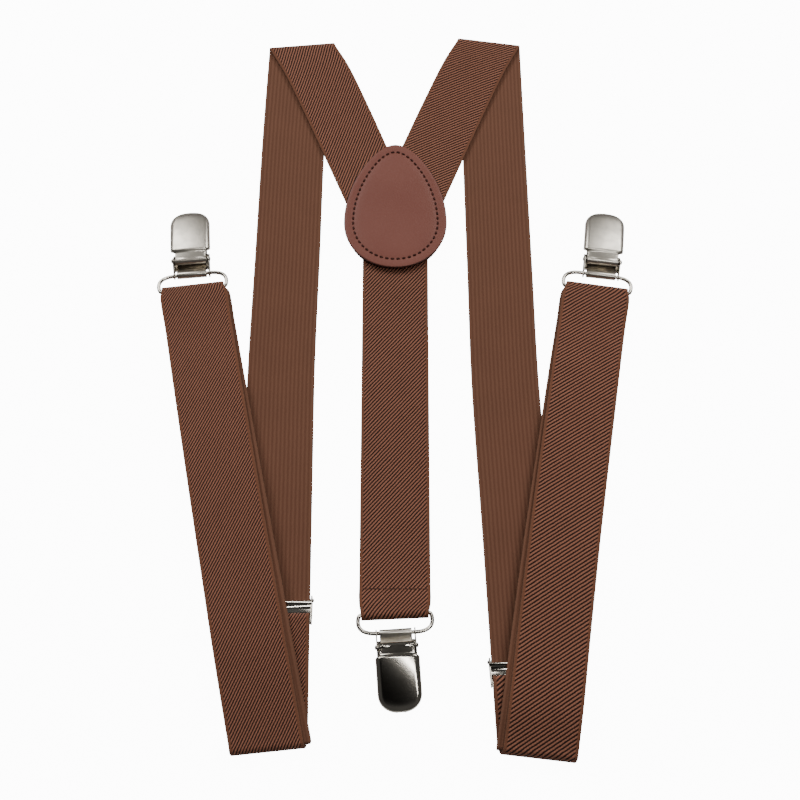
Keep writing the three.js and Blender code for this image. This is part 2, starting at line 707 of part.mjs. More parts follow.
function sideGroup(name, side) {
  const group = new THREE.Group();
  group.scale.x = side.sign;
  const fold = foldLayers(side);
  const strip = { offset: side.stripOffset, offsetAtClip: side.stripOffsetAtClip };
  const outerFront = frontStations(side, {
    lift: LAYER,
    foldZ: fold.pivot + fold.outerRadius,
    clipZ: WIRE.barHeight + TURN_RADIUS,
    offset: 0,
    offsetAtClip: 0,
  });
  const innerFront = frontStations(side, {
    lift: 0,
    foldZ: fold.pivot + fold.innerRadius,
    clipZ: WIRE.barHeight - TURN_RADIUS,
    ...strip,
  });
  const strap = (part, geometry) =>
    group.add(meshOf(`${name}_${part}`, geometry, MATERIALS.webbing));
  strap("shoulder_strap", shoulderStrapGeometry(side));
  strap("return_strap", returnStrapGeometry(side));
  const { foldDrift, stripOffset } = side;
  strap("fold_outer", bottomTurnGeometry(side, fold.outerRadius, fold.pivot, foldDrift));
  strap("fold_inner", bottomTurnGeometry(side, fold.innerRadius, fold.pivot, foldDrift - stripOffset));
  strap("front_strap_outer", strapGeometry(rowsAlong([innerLeft(outerFront, 30)])));
  strap("front_strap_inner", strapGeometry(rowsAlong([innerLeft(innerFront, 30)])));
  strap("wire_turn", wireTurnGeometry(side));
  const adjuster = new THREE.Group();
  const [x, y] = runPoint(side, runAt(side, side.adjusterY));
  adjuster.position.set(x, y, IN_ADJUSTER);
  adjuster.rotation.z = -runTilt(side) * DEG;
  adjuster.add(...adjusterMeshes(name));
  const [barX, barY] = side.bar;
  const { barTilt, clipTilt, clipShift } = side;
  group.add(adjuster, ...clipOnLoop(name, { x: barX, y: barY, barTilt, clipTilt, clipShift }));
  return group;
}

// ---- the back -------------------------------------------------------------------------------------

// The patch's egg outline: narrow round top, widest low down, measured from its top.
function patchShape(inset) {
  const { height, halfWidth } = LEATHER;
  const shape = new THREE.Shape();
  const steps = 56;
  for (let k = 0; k < steps; k++) {
    const angle = (2 * Math.PI * k) / steps;
    const [c, s] = [Math.cos(angle), Math.sin(angle)];
    const widest = -0.64 * height;
    const reach = c > 0 ? -widest : height + widest;
    const width = Math.abs(s);
    const lean = width ** (c > 0 ? 1.1 + 0.34 * width : 0.96);
    const x = Math.sign(s) * (halfWidth - inset) * lean;
    const y = widest + c * (reach - inset);
    if (k) shape.lineTo(x, y);
    else shape.moveTo(x, y);
  }
  return shape;
}

function patchGeometry(inset, z) {
  const geometry = new THREE.ExtrudeGeometry(patchShape(inset), {
    depth: LEATHER.thickness,
    bevelEnabled: false,
  });
  return geometry.translate(0, BACK.patchTop, z);
}

// The back strap below the bend, its end round the wire and its tail sewn under it.
function backStrapGeometry() {
  const at = (y, z, tilt = 0) => edgesAt([0, y], z, tilt);
  const { outer, inner } = narrowed(edgesAt([0, BACK.endY], WIRE.barHeight, BACK.barTilt));
  const axis = inner.clone().sub(outer).normalize();
  const turn = (pivot) =>
    new TurnCurve({ pivot, axis, radius: TURN_RADIUS, from: point(0, 0, 1), sweep: -Math.PI });
  const [outerTurn, innerTurn] = [turn(outer), turn(inner)];
  const top = { outer: outerTurn.getPoint(0), inner: innerTurn.getPoint(0) };
  const low = { outer: outerTurn.getPoint(1), inner: innerTurn.getPoint(1) };
  return strapGeometry(
    rowsAlong([
      outerLeft(
        [
          at(BACK.bendY - GAP / 2, BACK_STRAP_AT_PATCH - 0.45),
          at(30, ON_TABLE + 0.1),
          at(-20, ON_TABLE),
          at(-92, ON_TABLE + 0.15),
          at(BACK.seamY, ON_TABLE + LAYER + 0.2),
          at(-125, ON_TABLE + LAYER + 1.6),
          top,
        ],
        20,
      ),
      { left: outerTurn, right: innerTurn, steps: 9 },
      outerLeft([low, at(-126, ON_TABLE + 0.05), at(BACK.seamY + 1, ON_TABLE)], 4),
    ]),
  );
}

function backGroup() {
  const group = new THREE.Group();
  const patchZ = DIAGONAL_AT_PATCH + HALF + GAP;
  const underPatch = [
    edgesAt([0, BACK.strapTop], BACK_STRAP_AT_PATCH),
    edgesAt([0, 60], BACK_STRAP_AT_PATCH),
    edgesAt([0, BACK.bendY + GAP / 2], BACK_STRAP_AT_PATCH - 0.45),
  ];
  const strapTop = strapGeometry(rowsAlong([outerLeft(underPatch, 6)]));
  group.add(
    meshOf("patch_back", patchGeometry(LEATHER.backInset, 0), MATERIALS.leather),
    meshOf("patch_front", patchGeometry(0, patchZ), MATERIALS.leather),
    meshOf("back_strap_top", strapTop, MATERIALS.webbing),
    meshOf("back_strap", backStrapGeometry(), MATERIALS.webbing),
  );
  const hung = new THREE.Group();
  hung.rotation.z = Math.PI;
  const { barTilt, clipTilt } = BACK;
  hung.add(...clipOnLoop("back", { x: 0, y: -BACK.endY, barTilt, clipTilt }));
  group.add(hung);
  return group;
}

// ---- assembly ---------------------------------------------------------------------------------------

const suspenders = new THREE.Group();
suspenders.add(backGroup());
for (const [name, side] of Object.entries(SIDES)) suspenders.add(sideGroup(name, side));

export default suspenders;
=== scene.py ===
"""Clip-on Y-back suspenders of elastic webbing, folded and laid flat on a pale table.

Lengths in the sub-assemblies are millimetres and are turned into metres when a piece is placed.
Each strap follows the working solids row by row, so the cloth keeps the exact path of the fold.
"""

import json
import logging
import math
from dataclasses import dataclass, field
from enum import Enum
from typing import Callable, Iterable, Sequence

import bmesh
import bpy
import numpy as np
from mathutils import Matrix, Vector


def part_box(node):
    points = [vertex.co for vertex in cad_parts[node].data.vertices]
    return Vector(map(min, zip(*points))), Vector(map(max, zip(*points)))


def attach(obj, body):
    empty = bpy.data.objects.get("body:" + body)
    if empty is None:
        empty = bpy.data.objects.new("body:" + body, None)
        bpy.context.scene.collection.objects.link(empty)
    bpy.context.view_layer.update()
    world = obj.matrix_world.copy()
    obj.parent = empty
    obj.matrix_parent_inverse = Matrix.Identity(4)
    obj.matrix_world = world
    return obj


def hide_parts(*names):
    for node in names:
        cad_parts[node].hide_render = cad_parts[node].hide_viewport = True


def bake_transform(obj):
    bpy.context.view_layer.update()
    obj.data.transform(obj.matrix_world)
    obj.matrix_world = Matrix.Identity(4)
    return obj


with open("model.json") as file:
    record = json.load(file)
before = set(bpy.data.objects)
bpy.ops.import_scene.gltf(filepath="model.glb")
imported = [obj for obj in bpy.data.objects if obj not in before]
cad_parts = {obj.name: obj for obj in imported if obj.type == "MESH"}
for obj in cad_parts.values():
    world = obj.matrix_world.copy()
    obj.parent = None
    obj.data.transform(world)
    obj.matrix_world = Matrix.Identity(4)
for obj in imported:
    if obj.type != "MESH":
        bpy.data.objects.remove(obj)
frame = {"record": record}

MM = 0.001
WEBBING_WIDTH = 35.0
WEBBING_THICKNESS = 1.4
log = logging.getLogger("suspenders")


class Side(Enum):
    """The two front halves of the suspenders."""

    LEFT = "left"
    RIGHT = "right"


class Hold(Enum):
    """How a length of webbing is held."""

    LAID = "laid"
    FOLDED = "folded"


class Zone(Enum):
    """The three surfaces of webbing, in the order of its material slots."""

    FACE = 0
    REVERSE = 1
    EDGE = 2


# ---- finishes ------------------------------------------------------------------------


def linear(rgb: Sequence[float]) -> tuple[float, float, float, float]:
    """Turn display colour steps into the linear colour that a shader socket takes.

    Args:
        rgb: three values from 0 to 255.

    Returns:
        Red, green, blue and alpha from 0 to 1.
    """
    steps = [c / 255 for c in rgb]
    line = [c / 12.92 if c <= 0.04045 else ((c + 0.055) / 1.055) ** 2.4 for c in steps]
    return (*line, 1.0)


class Graph:
    """A material's node tree, written as short calls."""

    def __init__(self, name: str) -> None:
        """Start an empty principled material.

        Args:
            name: the material's name.
        """
        self.material = bpy.data.materials.new(name)
        self.material.use_nodes = True
        self.tree = self.material.node_tree
        self.tree.nodes.clear()
        self.surface = self.tree.nodes.new("ShaderNodeBsdfPrincipled")
        output = self.tree.nodes.new("ShaderNodeOutputMaterial")
        self.tree.links.new(self.surface.outputs[0], output.inputs["Surface"])

    def feed(self, socket: bpy.types.NodeSocket, value: object) -> None:
        """Set a socket to a plain value, or link it to another node's output.

        Args:
            socket: the input socket.
            value: a number, a tuple, or an output socket.
        """
        if isinstance(value, bpy.types.NodeSocket):
            self.tree.links.new(value, socket)
        else:
            socket.default_value = value

    def node(self, kind: str, inputs: dict | None = None, **settings) -> bpy.types.Node:
        """Add a node.

        Args:
            kind: the node's type after "ShaderNode".
            inputs: values or output sockets by input name or number.
            **settings: the node's own properties.

        Returns:
            The new node.
        """
        made = self.tree.nodes.new("ShaderNode" + kind)
        for key, value in settings.items():
            setattr(made, key, value)
        for key, value in (inputs or {}).items():
            self.feed(made.inputs[key], value)
        return made

    def math(self, operation: str, *values: object, clamp: bool = False) -> bpy.types.NodeSocket:
        """Add a math node.

        Args:
            operation: Blender's name of the operation.
            *values: one to three numbers or output sockets.
            clamp: keep the result from 0 to 1.

        Returns:
            Its output socket.
        """
        inputs = dict(enumerate(values))
        return self.node("Math", inputs, operation=operation, use_clamp=clamp).outputs[0]

    def mix(self, share: object, first: object, second: object) -> bpy.types.NodeSocket:
        """Mix two colours.

        Args:
            share: how much of the second colour.
            first: colour or socket.
            second: colour or socket.

        Returns:
            The mixed colour's socket.
        """
        made = self.node("Mix", {0: share}, data_type="RGBA")
        self.feed(made.inputs[6], first)
        self.feed(made.inputs[7], second)
        return made.outputs[2]

    def noise(self, vector: object, scale: float, detail: float = 2.0) -> bpy.types.NodeSocket:
        """Add a noise texture and return its value socket."""
        inputs = {"Vector": vector, "Scale": scale, "Detail": detail}
        return self.node("TexNoise", inputs).outputs[0]

    def smoothstep(self, value: object, low: float, high: float) -> bpy.types.NodeSocket:
        """Rise smoothly from 0 at low to 1 at high."""
        inputs = {"Value": value, "From Min": low, "From Max": high}
        return self.node("MapRange", inputs, interpolation_type="SMOOTHSTEP").outputs[0]

    def bump(self, height: object, distance: float, strength: float) -> bpy.types.NodeSocket:
        """Turn a height into a surface normal."""
        inputs = {"Height": height, "Distance": distance, "Strength": strength}
        return self.node("Bump", inputs).outputs["Normal"]

    def finish(self, **sockets: object) -> bpy.types.Material:
        """Feed the principled surface and return the material.

        Args:
            **sockets: input names with spaces written as underscores.
        """
        for key, value in sockets.items():
            self.feed(self.surface.inputs[key.replace("_", " ")], value)
        return self.material


@dataclass(frozen=True)
class TwillFace:
    """The dress face of the webbing: slanted ridges in the yarn's lit colour, with painted shade in
    the grooves between them.
    """

    name: str = "webbing twill face"
    ridge: tuple[float, float, float] = (160, 105, 82)
    # The near-black colour below is painted shade for the grooves between the ridges.
    groove_shade: tuple[float, float, float] = (22, 4, 0)
    selvedge: tuple[float, float, float] = (136, 86, 62)
    pitch: float = 1.45
    slant: float = -42.0
    float_length: float = 1.5
    band: float = 1.5

    def build(self) -> bpy.types.Material:
        """Return the node material, which reads the webbing's own length and width."""
        g = Graph(self.name)
        uv = g.node("UVMap", uv_map="Cloth").outputs[0]
        split = g.node("SeparateXYZ", {0: uv})
        u = g.math("MULTIPLY", split.outputs[0], 100.0)
        v = g.math("MULTIPLY", split.outputs[1], 100.0)
        wander = g.math("MULTIPLY", g.noise(uv, 26.0, 3.0), 0.3)
        c, s = math.cos(math.radians(self.slant)), math.sin(math.radians(self.slant))
        across = g.math("ADD", g.math("MULTIPLY", u, c / self.pitch), wander)
        across = g.math("MULTIPLY_ADD", v, s / self.pitch, across)
        saw = g.math("FRACT", across)
        lane = g.math("FLOOR", across)
        arch = g.math("SINE", g.math("MULTIPLY", saw, math.pi))
        along = g.math("MULTIPLY", u, -s / self.float_length)
        along = g.math("MULTIPLY_ADD", v, c / self.float_length, along)
        along = g.math("MULTIPLY_ADD", lane, 0.38, along)
        bead = g.math("SINE", g.math("MULTIPLY", g.math("FRACT", along), math.pi))
        # Painted shade and highlight: each ridge has the lit colour at its crown and fades to the
        # painted groove shade at its sides, and each float is lighter at its middle and darker at
        # its ends; the fibre noise is the cloth's own mottling.
        ridge = g.smoothstep(arch, 0.36, 0.98)
        fibre = g.noise(uv, 900.0, 3.0)
        float_shading = g.math("MULTIPLY_ADD", bead, 0.34, 0.56)
        tone = g.math("MULTIPLY", ridge, g.math("MULTIPLY_ADD", fibre, 0.4, float_shading))
        start = WEBBING_WIDTH / 2 - self.band
        edge = g.smoothstep(g.math("ABSOLUTE", u), start - 0.25, start + 0.25)
        cloth = g.mix(tone, linear(self.groove_shade), linear(self.ridge))
        # Painted shade on the selvedge band: its colour dips towards the groove shade between its
        # cords.
        cord = g.math("SINE", g.math("MULTIPLY", v, 2 * math.pi / 0.9))
        corded = g.math("MULTIPLY_ADD", cord, 0.14, 0.72)
        rim = g.mix(corded, linear(self.groove_shade), linear(self.selvedge))
        patchy = g.math("MULTIPLY_ADD", g.noise(uv, 7.0, 2.0), 0.16, 0.92)
        colour = g.mix(edge, cloth, rim)
        tinted = g.node("HueSaturation", {"Value": patchy, "Color": colour}).outputs[0]
        height = g.math("MULTIPLY_ADD", bead, 0.25, ridge)
        height = g.math("MULTIPLY", height, g.math("SUBTRACT", 1.0, edge))
        return g.finish(
            Base_Color=tinted,
            Roughness=0.86,
            Specular_IOR_Level=0.25,
            Sheen_Weight=0.12,
            Sheen_Roughness=0.5,
            Normal=g.bump(height, 0.00022, 0.75),
        )


@dataclass(frozen=True)
class RibbedReverse:
    """The inner side of the webbing: fine ribs that run lengthwise, with painted shade in the
    valleys between them.
    """

    name: str = "webbing ribbed reverse"
    rib: tuple[float, float, float] = (124, 85, 66)
    # The darker colour below is painted shade for the valleys between the ribs.
    valley_shade: tuple[float, float, float] = (100, 64, 47)
    pitch: float = 2.08

    def build(self) -> bpy.types.Material:
        """Return the node material."""
        g = Graph(self.name)
        uv = g.node("UVMap", uv_map="Cloth").outputs[0]
        split = g.node("SeparateXYZ", {0: uv})
        u = g.math("MULTIPLY", split.outputs[0], 100.0)
        v = g.math("MULTIPLY", split.outputs[1], 100.0)
        phase = g.math("MULTIPLY_ADD", g.noise(uv, 20.0), 0.22, g.math("DIVIDE", u, self.pitch))
        wave = g.math("COSINE", g.math("MULTIPLY", phase, 2 * math.pi))
        weft = g.math("SINE", g.math("MULTIPLY", v, 2 * math.pi / 0.62))
        fibre = g.noise(uv, 700.0, 3.0)
        # Painted shade: the colour darkens in the valleys between the ribs and between the weft
        # cords; the fibre noise is the cloth's own mottling.
        tone = g.math("MULTIPLY_ADD", wave, 0.32, 0.5)
        tone = g.math("MULTIPLY_ADD", weft, 0.1, tone)
        tone = g.math("MULTIPLY_ADD", g.math("SUBTRACT", fibre, 0.5), 0.7, tone, clamp=True)
        colour = g.mix(tone, linear(self.valley_shade), linear(self.rib))
        patchy = g.math("MULTIPLY_ADD", g.noise(uv, 6.0, 2.0), 0.14, 0.93)
        tinted = g.node("HueSaturation", {"Value": patchy, "Color": colour}).outputs[0]
        height = g.math("MULTIPLY_ADD", weft, 0.2, g.math("MULTIPLY", fibre, 0.4))
        return g.finish(
            Base_Color=tinted,
            Roughness=0.9,
            Specular_IOR_Level=0.2,
            Sheen_Weight=0.12,
            Sheen_Roughness=0.5,
            Normal=g.bump(height, 0.00012, 0.6),
        )


@dataclass(frozen=True)
class Leather:
    """Smooth dyed leather with a fine grain."""

    name: str = "patch leather"
    tone: tuple[float, float, float] = (126, 67, 51)
    deep: tuple[float, float, float] = (119, 59, 42)
    roughness: float = 0.46

    def build(self) -> bpy.types.Material:
        """Return the node material."""
        g = Graph(self.name)
        at = g.node("TexCoord").outputs["Object"]
        cloud = g.noise(at, 22.0, 2.0)
        grain = g.node("TexVoronoi", {"Vector": at, "Scale": 1500.0}).outputs[0]
        fine = g.noise(at, 2600.0, 2.0)
        colour = g.mix(g.smoothstep(cloud, 0.3, 0.7), linear(self.deep), linear(self.tone))
        height = g.math("MULTIPLY_ADD", fine, 0.5, grain)
        rough = g.math("MULTIPLY_ADD", cloud, 0.12, self.roughness - 0.06)
        return g.finish(
            Base_Color=colour,
            Roughness=rough,
            Specular_IOR_Level=0.45,
            Normal=g.bump(height, 0.00008, 0.35),
        )


@dataclass(frozen=True)
class Nickel:
    """Nickel plate: bright, with faint rubbing marks and fine scratches."""

    name: str
    tone: tuple[float, float, float] = (210, 203, 190)
    roughness: float = 0.16
    wear: float = 0.08

    def build(self) -> bpy.types.Material:
        """Return the node material."""
        g = Graph(self.name)
        at = g.node("TexCoord").outputs["Object"]
        haze = g.noise(at, 210.0, 4.0)
        stretched = g.node("Mapping", {"Vector": at, "Scale": (5200.0, 160.0, 900.0)}).outputs[0]
        scratch = g.noise(stretched, 1.0, 2.0)
        rough = g.math("MULTIPLY_ADD", haze, self.wear, self.roughness - self.wear / 2)
        rough = g.math("MULTIPLY_ADD", g.smoothstep(scratch, 0.55, 0.85), 0.5 * self.wear, rough)
        darker = [0.9 * c for c in self.tone]
        colour = g.mix(g.smoothstep(haze, 0.35, 0.75), linear(self.tone), linear(darker))
        return g.finish(Base_Color=colour, Metallic=1.0, Roughness=rough)


@dataclass(frozen=True)
class Plain:
    """A thread, pad or rivet finish with a little mottling."""

    name: str
    tone: tuple[float, float, float]
    roughness: float
    metallic: float = 0.0
    scale: float = 900.0

    def build(self) -> bpy.types.Material:
        """Return the node material."""
        g = Graph(self.name)
        at = g.node("TexCoord").outputs["Object"]
        speck = g.noise(at, self.scale, 2.0)
        darker = [0.82 * c for c in self.tone]
        colour = g.mix(g.smoothstep(speck, 0.3, 0.75), linear(self.tone), linear(darker))
        return g.finish(
            Base_Color=colour,
            Metallic=self.metallic,
            Roughness=self.roughness,
            Normal=g.bump(speck, 0.00005, 0.3),
        )


@dataclass
class Finishes:
    """Every material, built once."""

    twill: bpy.types.Material = field(default_factory=TwillFace().build)
    reverse: bpy.types.Material = field(default_factory=RibbedReverse().build)
    edge: bpy.types.Material = field(
        default_factory=Plain("webbing edge", (124, 82, 60), 0.9).build
    )
    leather: bpy.types.Material = field(default_factory=Leather().build)
    leather_edge: bpy.types.Material = field(
        default_factory=Plain("patch cut edge", (86, 46, 36), 0.6).build
    )
    mirror: bpy.types.Material = field(
        default_factory=Nickel("mirror nickel plate", roughness=0.12, wear=0.04).build
    )
    bright: bpy.types.Material = field(
        default_factory=Nickel("bright nickel plate", roughness=0.22, wear=0.06).build
    )
    satin: bpy.types.Material = field(
        default_factory=Nickel("satin nickel plate", roughness=0.3, wear=0.12).build
    )
    rivet: bpy.types.Material = field(
        default_factory=Plain("rivet steel", (150, 146, 138), 0.3, 1.0).build
    )
    pad: bpy.types.Material = field(
        default_factory=Plain("jaw pad plastic", (232, 230, 222), 0.5).build
    )
    thread: bpy.types.Material = field(
        default_factory=Plain("stitching thread", (72, 32, 22), 0.9).build
    )
    seam: bpy.types.Material = field(
        default_factory=Plain("seam thread", (84, 50, 38), 0.85).build
    )


# ---- building meshes -----------------------------------------------------------------


def eased(value: float | np.ndarray) -> float | np.ndarray:
    """Ease a share in and out between 0 and 1, and hold it there beyond them."""
    t = np.clip(value, 0, 1)
    return t * t * (3 - 2 * t)


def smooth_shaded(mesh: bpy.types.Mesh, angle: float = 38.0) -> bpy.types.Mesh:
    """Shade a mesh smooth except across its sharp edges.

    Args:
        mesh: the mesh, which is changed.
        angle: edges sharper than this stay sharp, in degrees.

    Returns:
        The same mesh.
    """
    mesh.polygons.foreach_set("use_smooth", [True] * len(mesh.polygons))
    mesh.set_sharp_from_angle(angle=math.radians(angle))
    mesh.update()
    return mesh


def show(name: str, mesh: bpy.types.Mesh, place: Matrix | None = None) -> bpy.types.Object:
    """Put a mesh into the scene as an object.

    Args:
        name: the piece's name.
        mesh: its mesh, in metres.
        place: where it goes, baked into the mesh.

    Returns:
        The object.
    """
    if place is not None:
        mesh.transform(place)
    made = bpy.data.objects.new(name, mesh)
    bpy.context.scene.collection.objects.link(made)
    return made


def evaluated(source: bpy.types.ID, modifiers: Callable | None = None) -> bpy.types.Mesh:
    """Turn a curve or a mesh with modifiers into a plain mesh.

    Args:
        source: curve or mesh data.
        modifiers: called with the temporary object to add modifiers to it.

    Returns:
        A new mesh.
    """
    temporary = bpy.data.objects.new("temporary", source)
    bpy.context.scene.collection.objects.link(temporary)
    if modifiers:
        modifiers(temporary)
    bpy.context.view_layer.update()
    graph = bpy.context.evaluated_depsgraph_get()
    made = bpy.data.meshes.new_from_object(temporary.evaluated_get(graph))
    bpy.data.objects.remove(temporary)
    return made


class Assembly:
    """Several small meshes in millimetres that become one piece."""

    def __init__(self) -> None:
        """Start empty."""
        self.mesh = bmesh.new()
        self.materials: list[bpy.types.Material] = []

    def add(
        self, mesh: bpy.types.Mesh, material: bpy.types.Material, place: Matrix | None = None
    ) -> None:
        """Add a mesh in one material.

        Args:
            mesh: the mesh, which is used up.
            material: its finish.
            place: its place in the piece.
        """
        if material not in self.materials:
            self.materials.append(material)
        if place is not None:
            mesh.transform(place)
        start = len(self.mesh.faces)
        self.mesh.from_mesh(mesh)
        self.mesh.faces.ensure_lookup_table()
        for face in self.mesh.faces[start:]:
            face.material_index = self.materials.index(material)
        bpy.data.meshes.remove(mesh)

    def build(self, name: str, place: Matrix, angle: float = 38.0) -> bpy.types.Object:
        """Make the piece.

        Args:
            name: its name.
            place: where its own origin and axes lie, in metres.
            angle: edges sharper than this stay sharp, in degrees.

        Returns:
            The object.
        """
        mesh = bpy.data.meshes.new(name)
        self.mesh.to_mesh(mesh)
        self.mesh.free()
        for material in self.materials:
            mesh.materials.append(material)
        return show(name, smooth_shaded(mesh, angle), place @ Matrix.Scale(MM, 4))


def arc(
    y: float, z: float, radius: float, start: float, end: float, steps: int = 18
) -> list[tuple[float, float]]:
    """Return points on an arc in the (y, z) plane, with angles in degrees."""
    angles = np.radians(np.linspace(start, end, steps + 1))
    return [(y + radius * math.cos(a), z + radius * math.sin(a)) for a in angles]


def plate(
    outline: Sequence, x0: float, x1: float, bevel: float, holes: Iterable = ()
) -> bpy.types.Mesh:
    """Carry a (y, z) outline from x0 to x1 with rounded rims.

    Args:
        outline: points of the closed outline.
        x0: where it starts.
        x1: where it ends.
        bevel: the rounding of its rims.
        holes: closed outlines of holes.

    Returns:
        The mesh, in millimetres.
    """
    curve = bpy.data.curves.new("outline", "CURVE")
    curve.dimensions = "2D"
    curve.fill_mode = "BOTH"
    curve.extrude = (x1 - x0) / 2 - bevel
    curve.bevel_depth = bevel
    curve.bevel_resolution = 2
    curve.offset = -bevel
    for points in (outline, *holes):
        spline = curve.splines.new("POLY")
        spline.points.add(len(points) - 1)
        for target, (y, z) in zip(spline.points, points):
            target.co = (y, z, 0, 1)
        spline.use_cyclic_u = True
    made = evaluated(curve)
    turn = Matrix(((0, 0, 1, (x0 + x1) / 2), (1, 0, 0, 0), (0, 1, 0, 0), (0, 0, 0, 1)))
    made.transform(turn)
    return made


def rod(points: Sequence, radius: float, closed: bool = False) -> bpy.types.Mesh:
    """Draw a round wire through points.

    Args:
        points: its centre line, in millimetres.
        radius: the wire's radius.
        closed: whether the last point joins the first.

    Returns:
        The mesh, in millimetres.
    """
    curve = bpy.data.curves.new("rod", "CURVE")
    curve.dimensions = "3D"
    curve.bevel_depth = radius
    curve.bevel_resolution = 6
    curve.use_fill_caps = not closed
    spline = curve.splines.new("POLY")
    spline.points.add(len(points) - 1)
    for target, p in zip(spline.points, points):
        target.co = (*p, 1)
    spline.use_cyclic_u = closed
    return evaluated(curve)


def block(low: Sequence[float], high: Sequence[float], bevel: float) -> bpy.types.Mesh:
    """Return a box from low to high with rounded edges."""
    outline = [(low[1], low[2]), (high[1], low[2]), (high[1], high[2]), (low[1], high[2])]
    return plate(outline, low[0], high[0], bevel)


def bezier(
    a: Sequence, b: Sequence, c: Sequence, d: Sequence, steps: int = 10
) -> list[np.ndarray]:
    """Draw a cubic curve.

    Args:
        a: its start.
        b: the control point after the start.
        c: the control point before the end.
        d: its end.
        steps: how many points to return.

    Returns:
        Points along it, the start left out.
    """
    a, b, c, d = (np.array(p, float) for p in (a, b, c, d))
    made = []
    for k in range(1, steps + 1):
        t = k / steps
        near = (1 - t) ** 3 * a + 3 * t * (1 - t) ** 2 * b
        made.append(near + 3 * t * t * (1 - t) * c + t**3 * d)
    return made


def domed_head(radius: float, height: float) -> bpy.types.Mesh:
    """Make a rivet's head, a low dome on the x axis.

    Args:
        radius: its radius.
        height: how far it stands out.

    Returns:
        The mesh, in millimetres.
    """
    made = bmesh.new()
    bmesh.ops.create_uvsphere(made, u_segments=24, v_segments=12, radius=1.0)
    mesh = bpy.data.meshes.new("head")
    made.to_mesh(mesh)
    made.free()
    mesh.transform(Matrix.Diagonal((height, radius, radius, 1.0)))
    return mesh


def stitch_mesh(length: float, radius: float) -> bpy.types.Mesh:
    """Return one stitch along x, a thread that dips into the work at both ends."""
    steps = np.linspace(-1, 1, 9)
    line = [(length / 2 * t, 0, radius * 0.55 - radius * 1.5 * t**4) for t in steps]
    return rod(line, radius)


# ---- joints and places ---------------------------------------------------------------


def joint_of(name: str) -> dict:
    """Return a joint of the record by name."""
    return next(j for j in frame["record"]["behaviour"]["joints"] if j["name"] == name)


def local_frame(position: Sequence[float], axis: Sequence[float], height: float) -> Matrix:
    """Return the frame with x along axis, z up, at a joint's plan position.

    Args:
        position: the joint's position, in metres.
        axis: the joint's axis, which lies flat.
        height: the frame's height, in metres.
    """
    x = Vector(axis).normalized()
    z = Vector((0, 0, 1))
    y = z.cross(x)
    made = Matrix((x, y, z)).transposed().to_4x4()
    made.translation = (position[0], position[1], height)
    return made


# ---- webbing -------------------------------------------------------------------------


def rows_of(node: str) -> np.ndarray:
    """Read a strap solid's rows.

    Args:
        node: the CAD node, a bent bar of constant thickness.

    Returns:
        An array (rows, 2, 3) of the two edge points of its middle surface, in millimetres.
    """
    solid = bmesh.new()
    solid.from_mesh(bpy.data.objects[node].data)
    bmesh.ops.remove_doubles(solid, verts=solid.verts, dist=0.003 * MM)
    solid.verts.index_update()
    post_of: dict[int, int] = {}
    posts: list[np.ndarray] = []
    for edge in sorted(solid.edges, key=lambda e: abs(e.calc_length() / MM - WEBBING_THICKNESS)):
        first, second = edge.verts
        if first.index in post_of or second.index in post_of:
            continue
        post_of[first.index] = post_of[second.index] = len(posts)
        posts.append(np.array((first.co + second.co) / (2 * MM)))
    count: dict[tuple[int, int], int] = {}
    for edge in solid.edges:
        p, q = sorted(post_of[v.index] for v in edge.verts)
        if p != q:
            count[p, q] = count.get((p, q), 0) + 1
    solid.free()
    near: dict[int, list[int]] = {i: [] for i in range(len(posts))}
    for (p, q), n in count.items():
        if n == 3:
            near[p].append(q)
            near[q].append(p)
    ring, last = [0], None
    while True:
        following = [q for q in near[ring[-1]] if q != last]
        last = ring[-1]
        if not following or following[0] == ring[0]:
            break
        ring.append(following[0])
    middle = np.array(posts)[ring]
    half = len(ring) // 2
    best = None
    for k in range(half):
        left = middle[[(k - i) % len(ring) for i in range(half)]]
        right = middle[[(k + 1 + i) % len(ring) for i in range(half)]]
        error = np.abs(np.linalg.norm(left - right, axis=1) - WEBBING_WIDTH).sum()
        if best is None or error < best[0]:
            best = (error, np.stack([left, right], axis=1))
    return best[1]


@dataclass
class Run:
    """A stretch of webbing that is one piece: its fine rows and their lengths along the strap."""

    name: str
    rows: np.ndarray
    normals: np.ndarray
    along: np.ndarray
    skew: np.ndarray

    @property
    def share(self) -> np.ndarray:
        """Each row's share of the run's length, from 0 to 1."""
        return (self.along - self.along[0]) / (self.along[-1] - self.along[0])


def joined_run(runs: Sequence[Run]) -> Run:
    """Join neighbouring runs, which share their end rows, into one.

    Args:
        runs: the runs in order.

    Returns:
        One run with the first run's name.
    """
    parts = []
    for what in ("rows", "normals", "along", "skew"):
        first, *others = (getattr(run, what) for run in runs)
        parts.append(np.concatenate([first, *(other[1:] for other in others)]))
    return Run(runs[0].name, *parts)


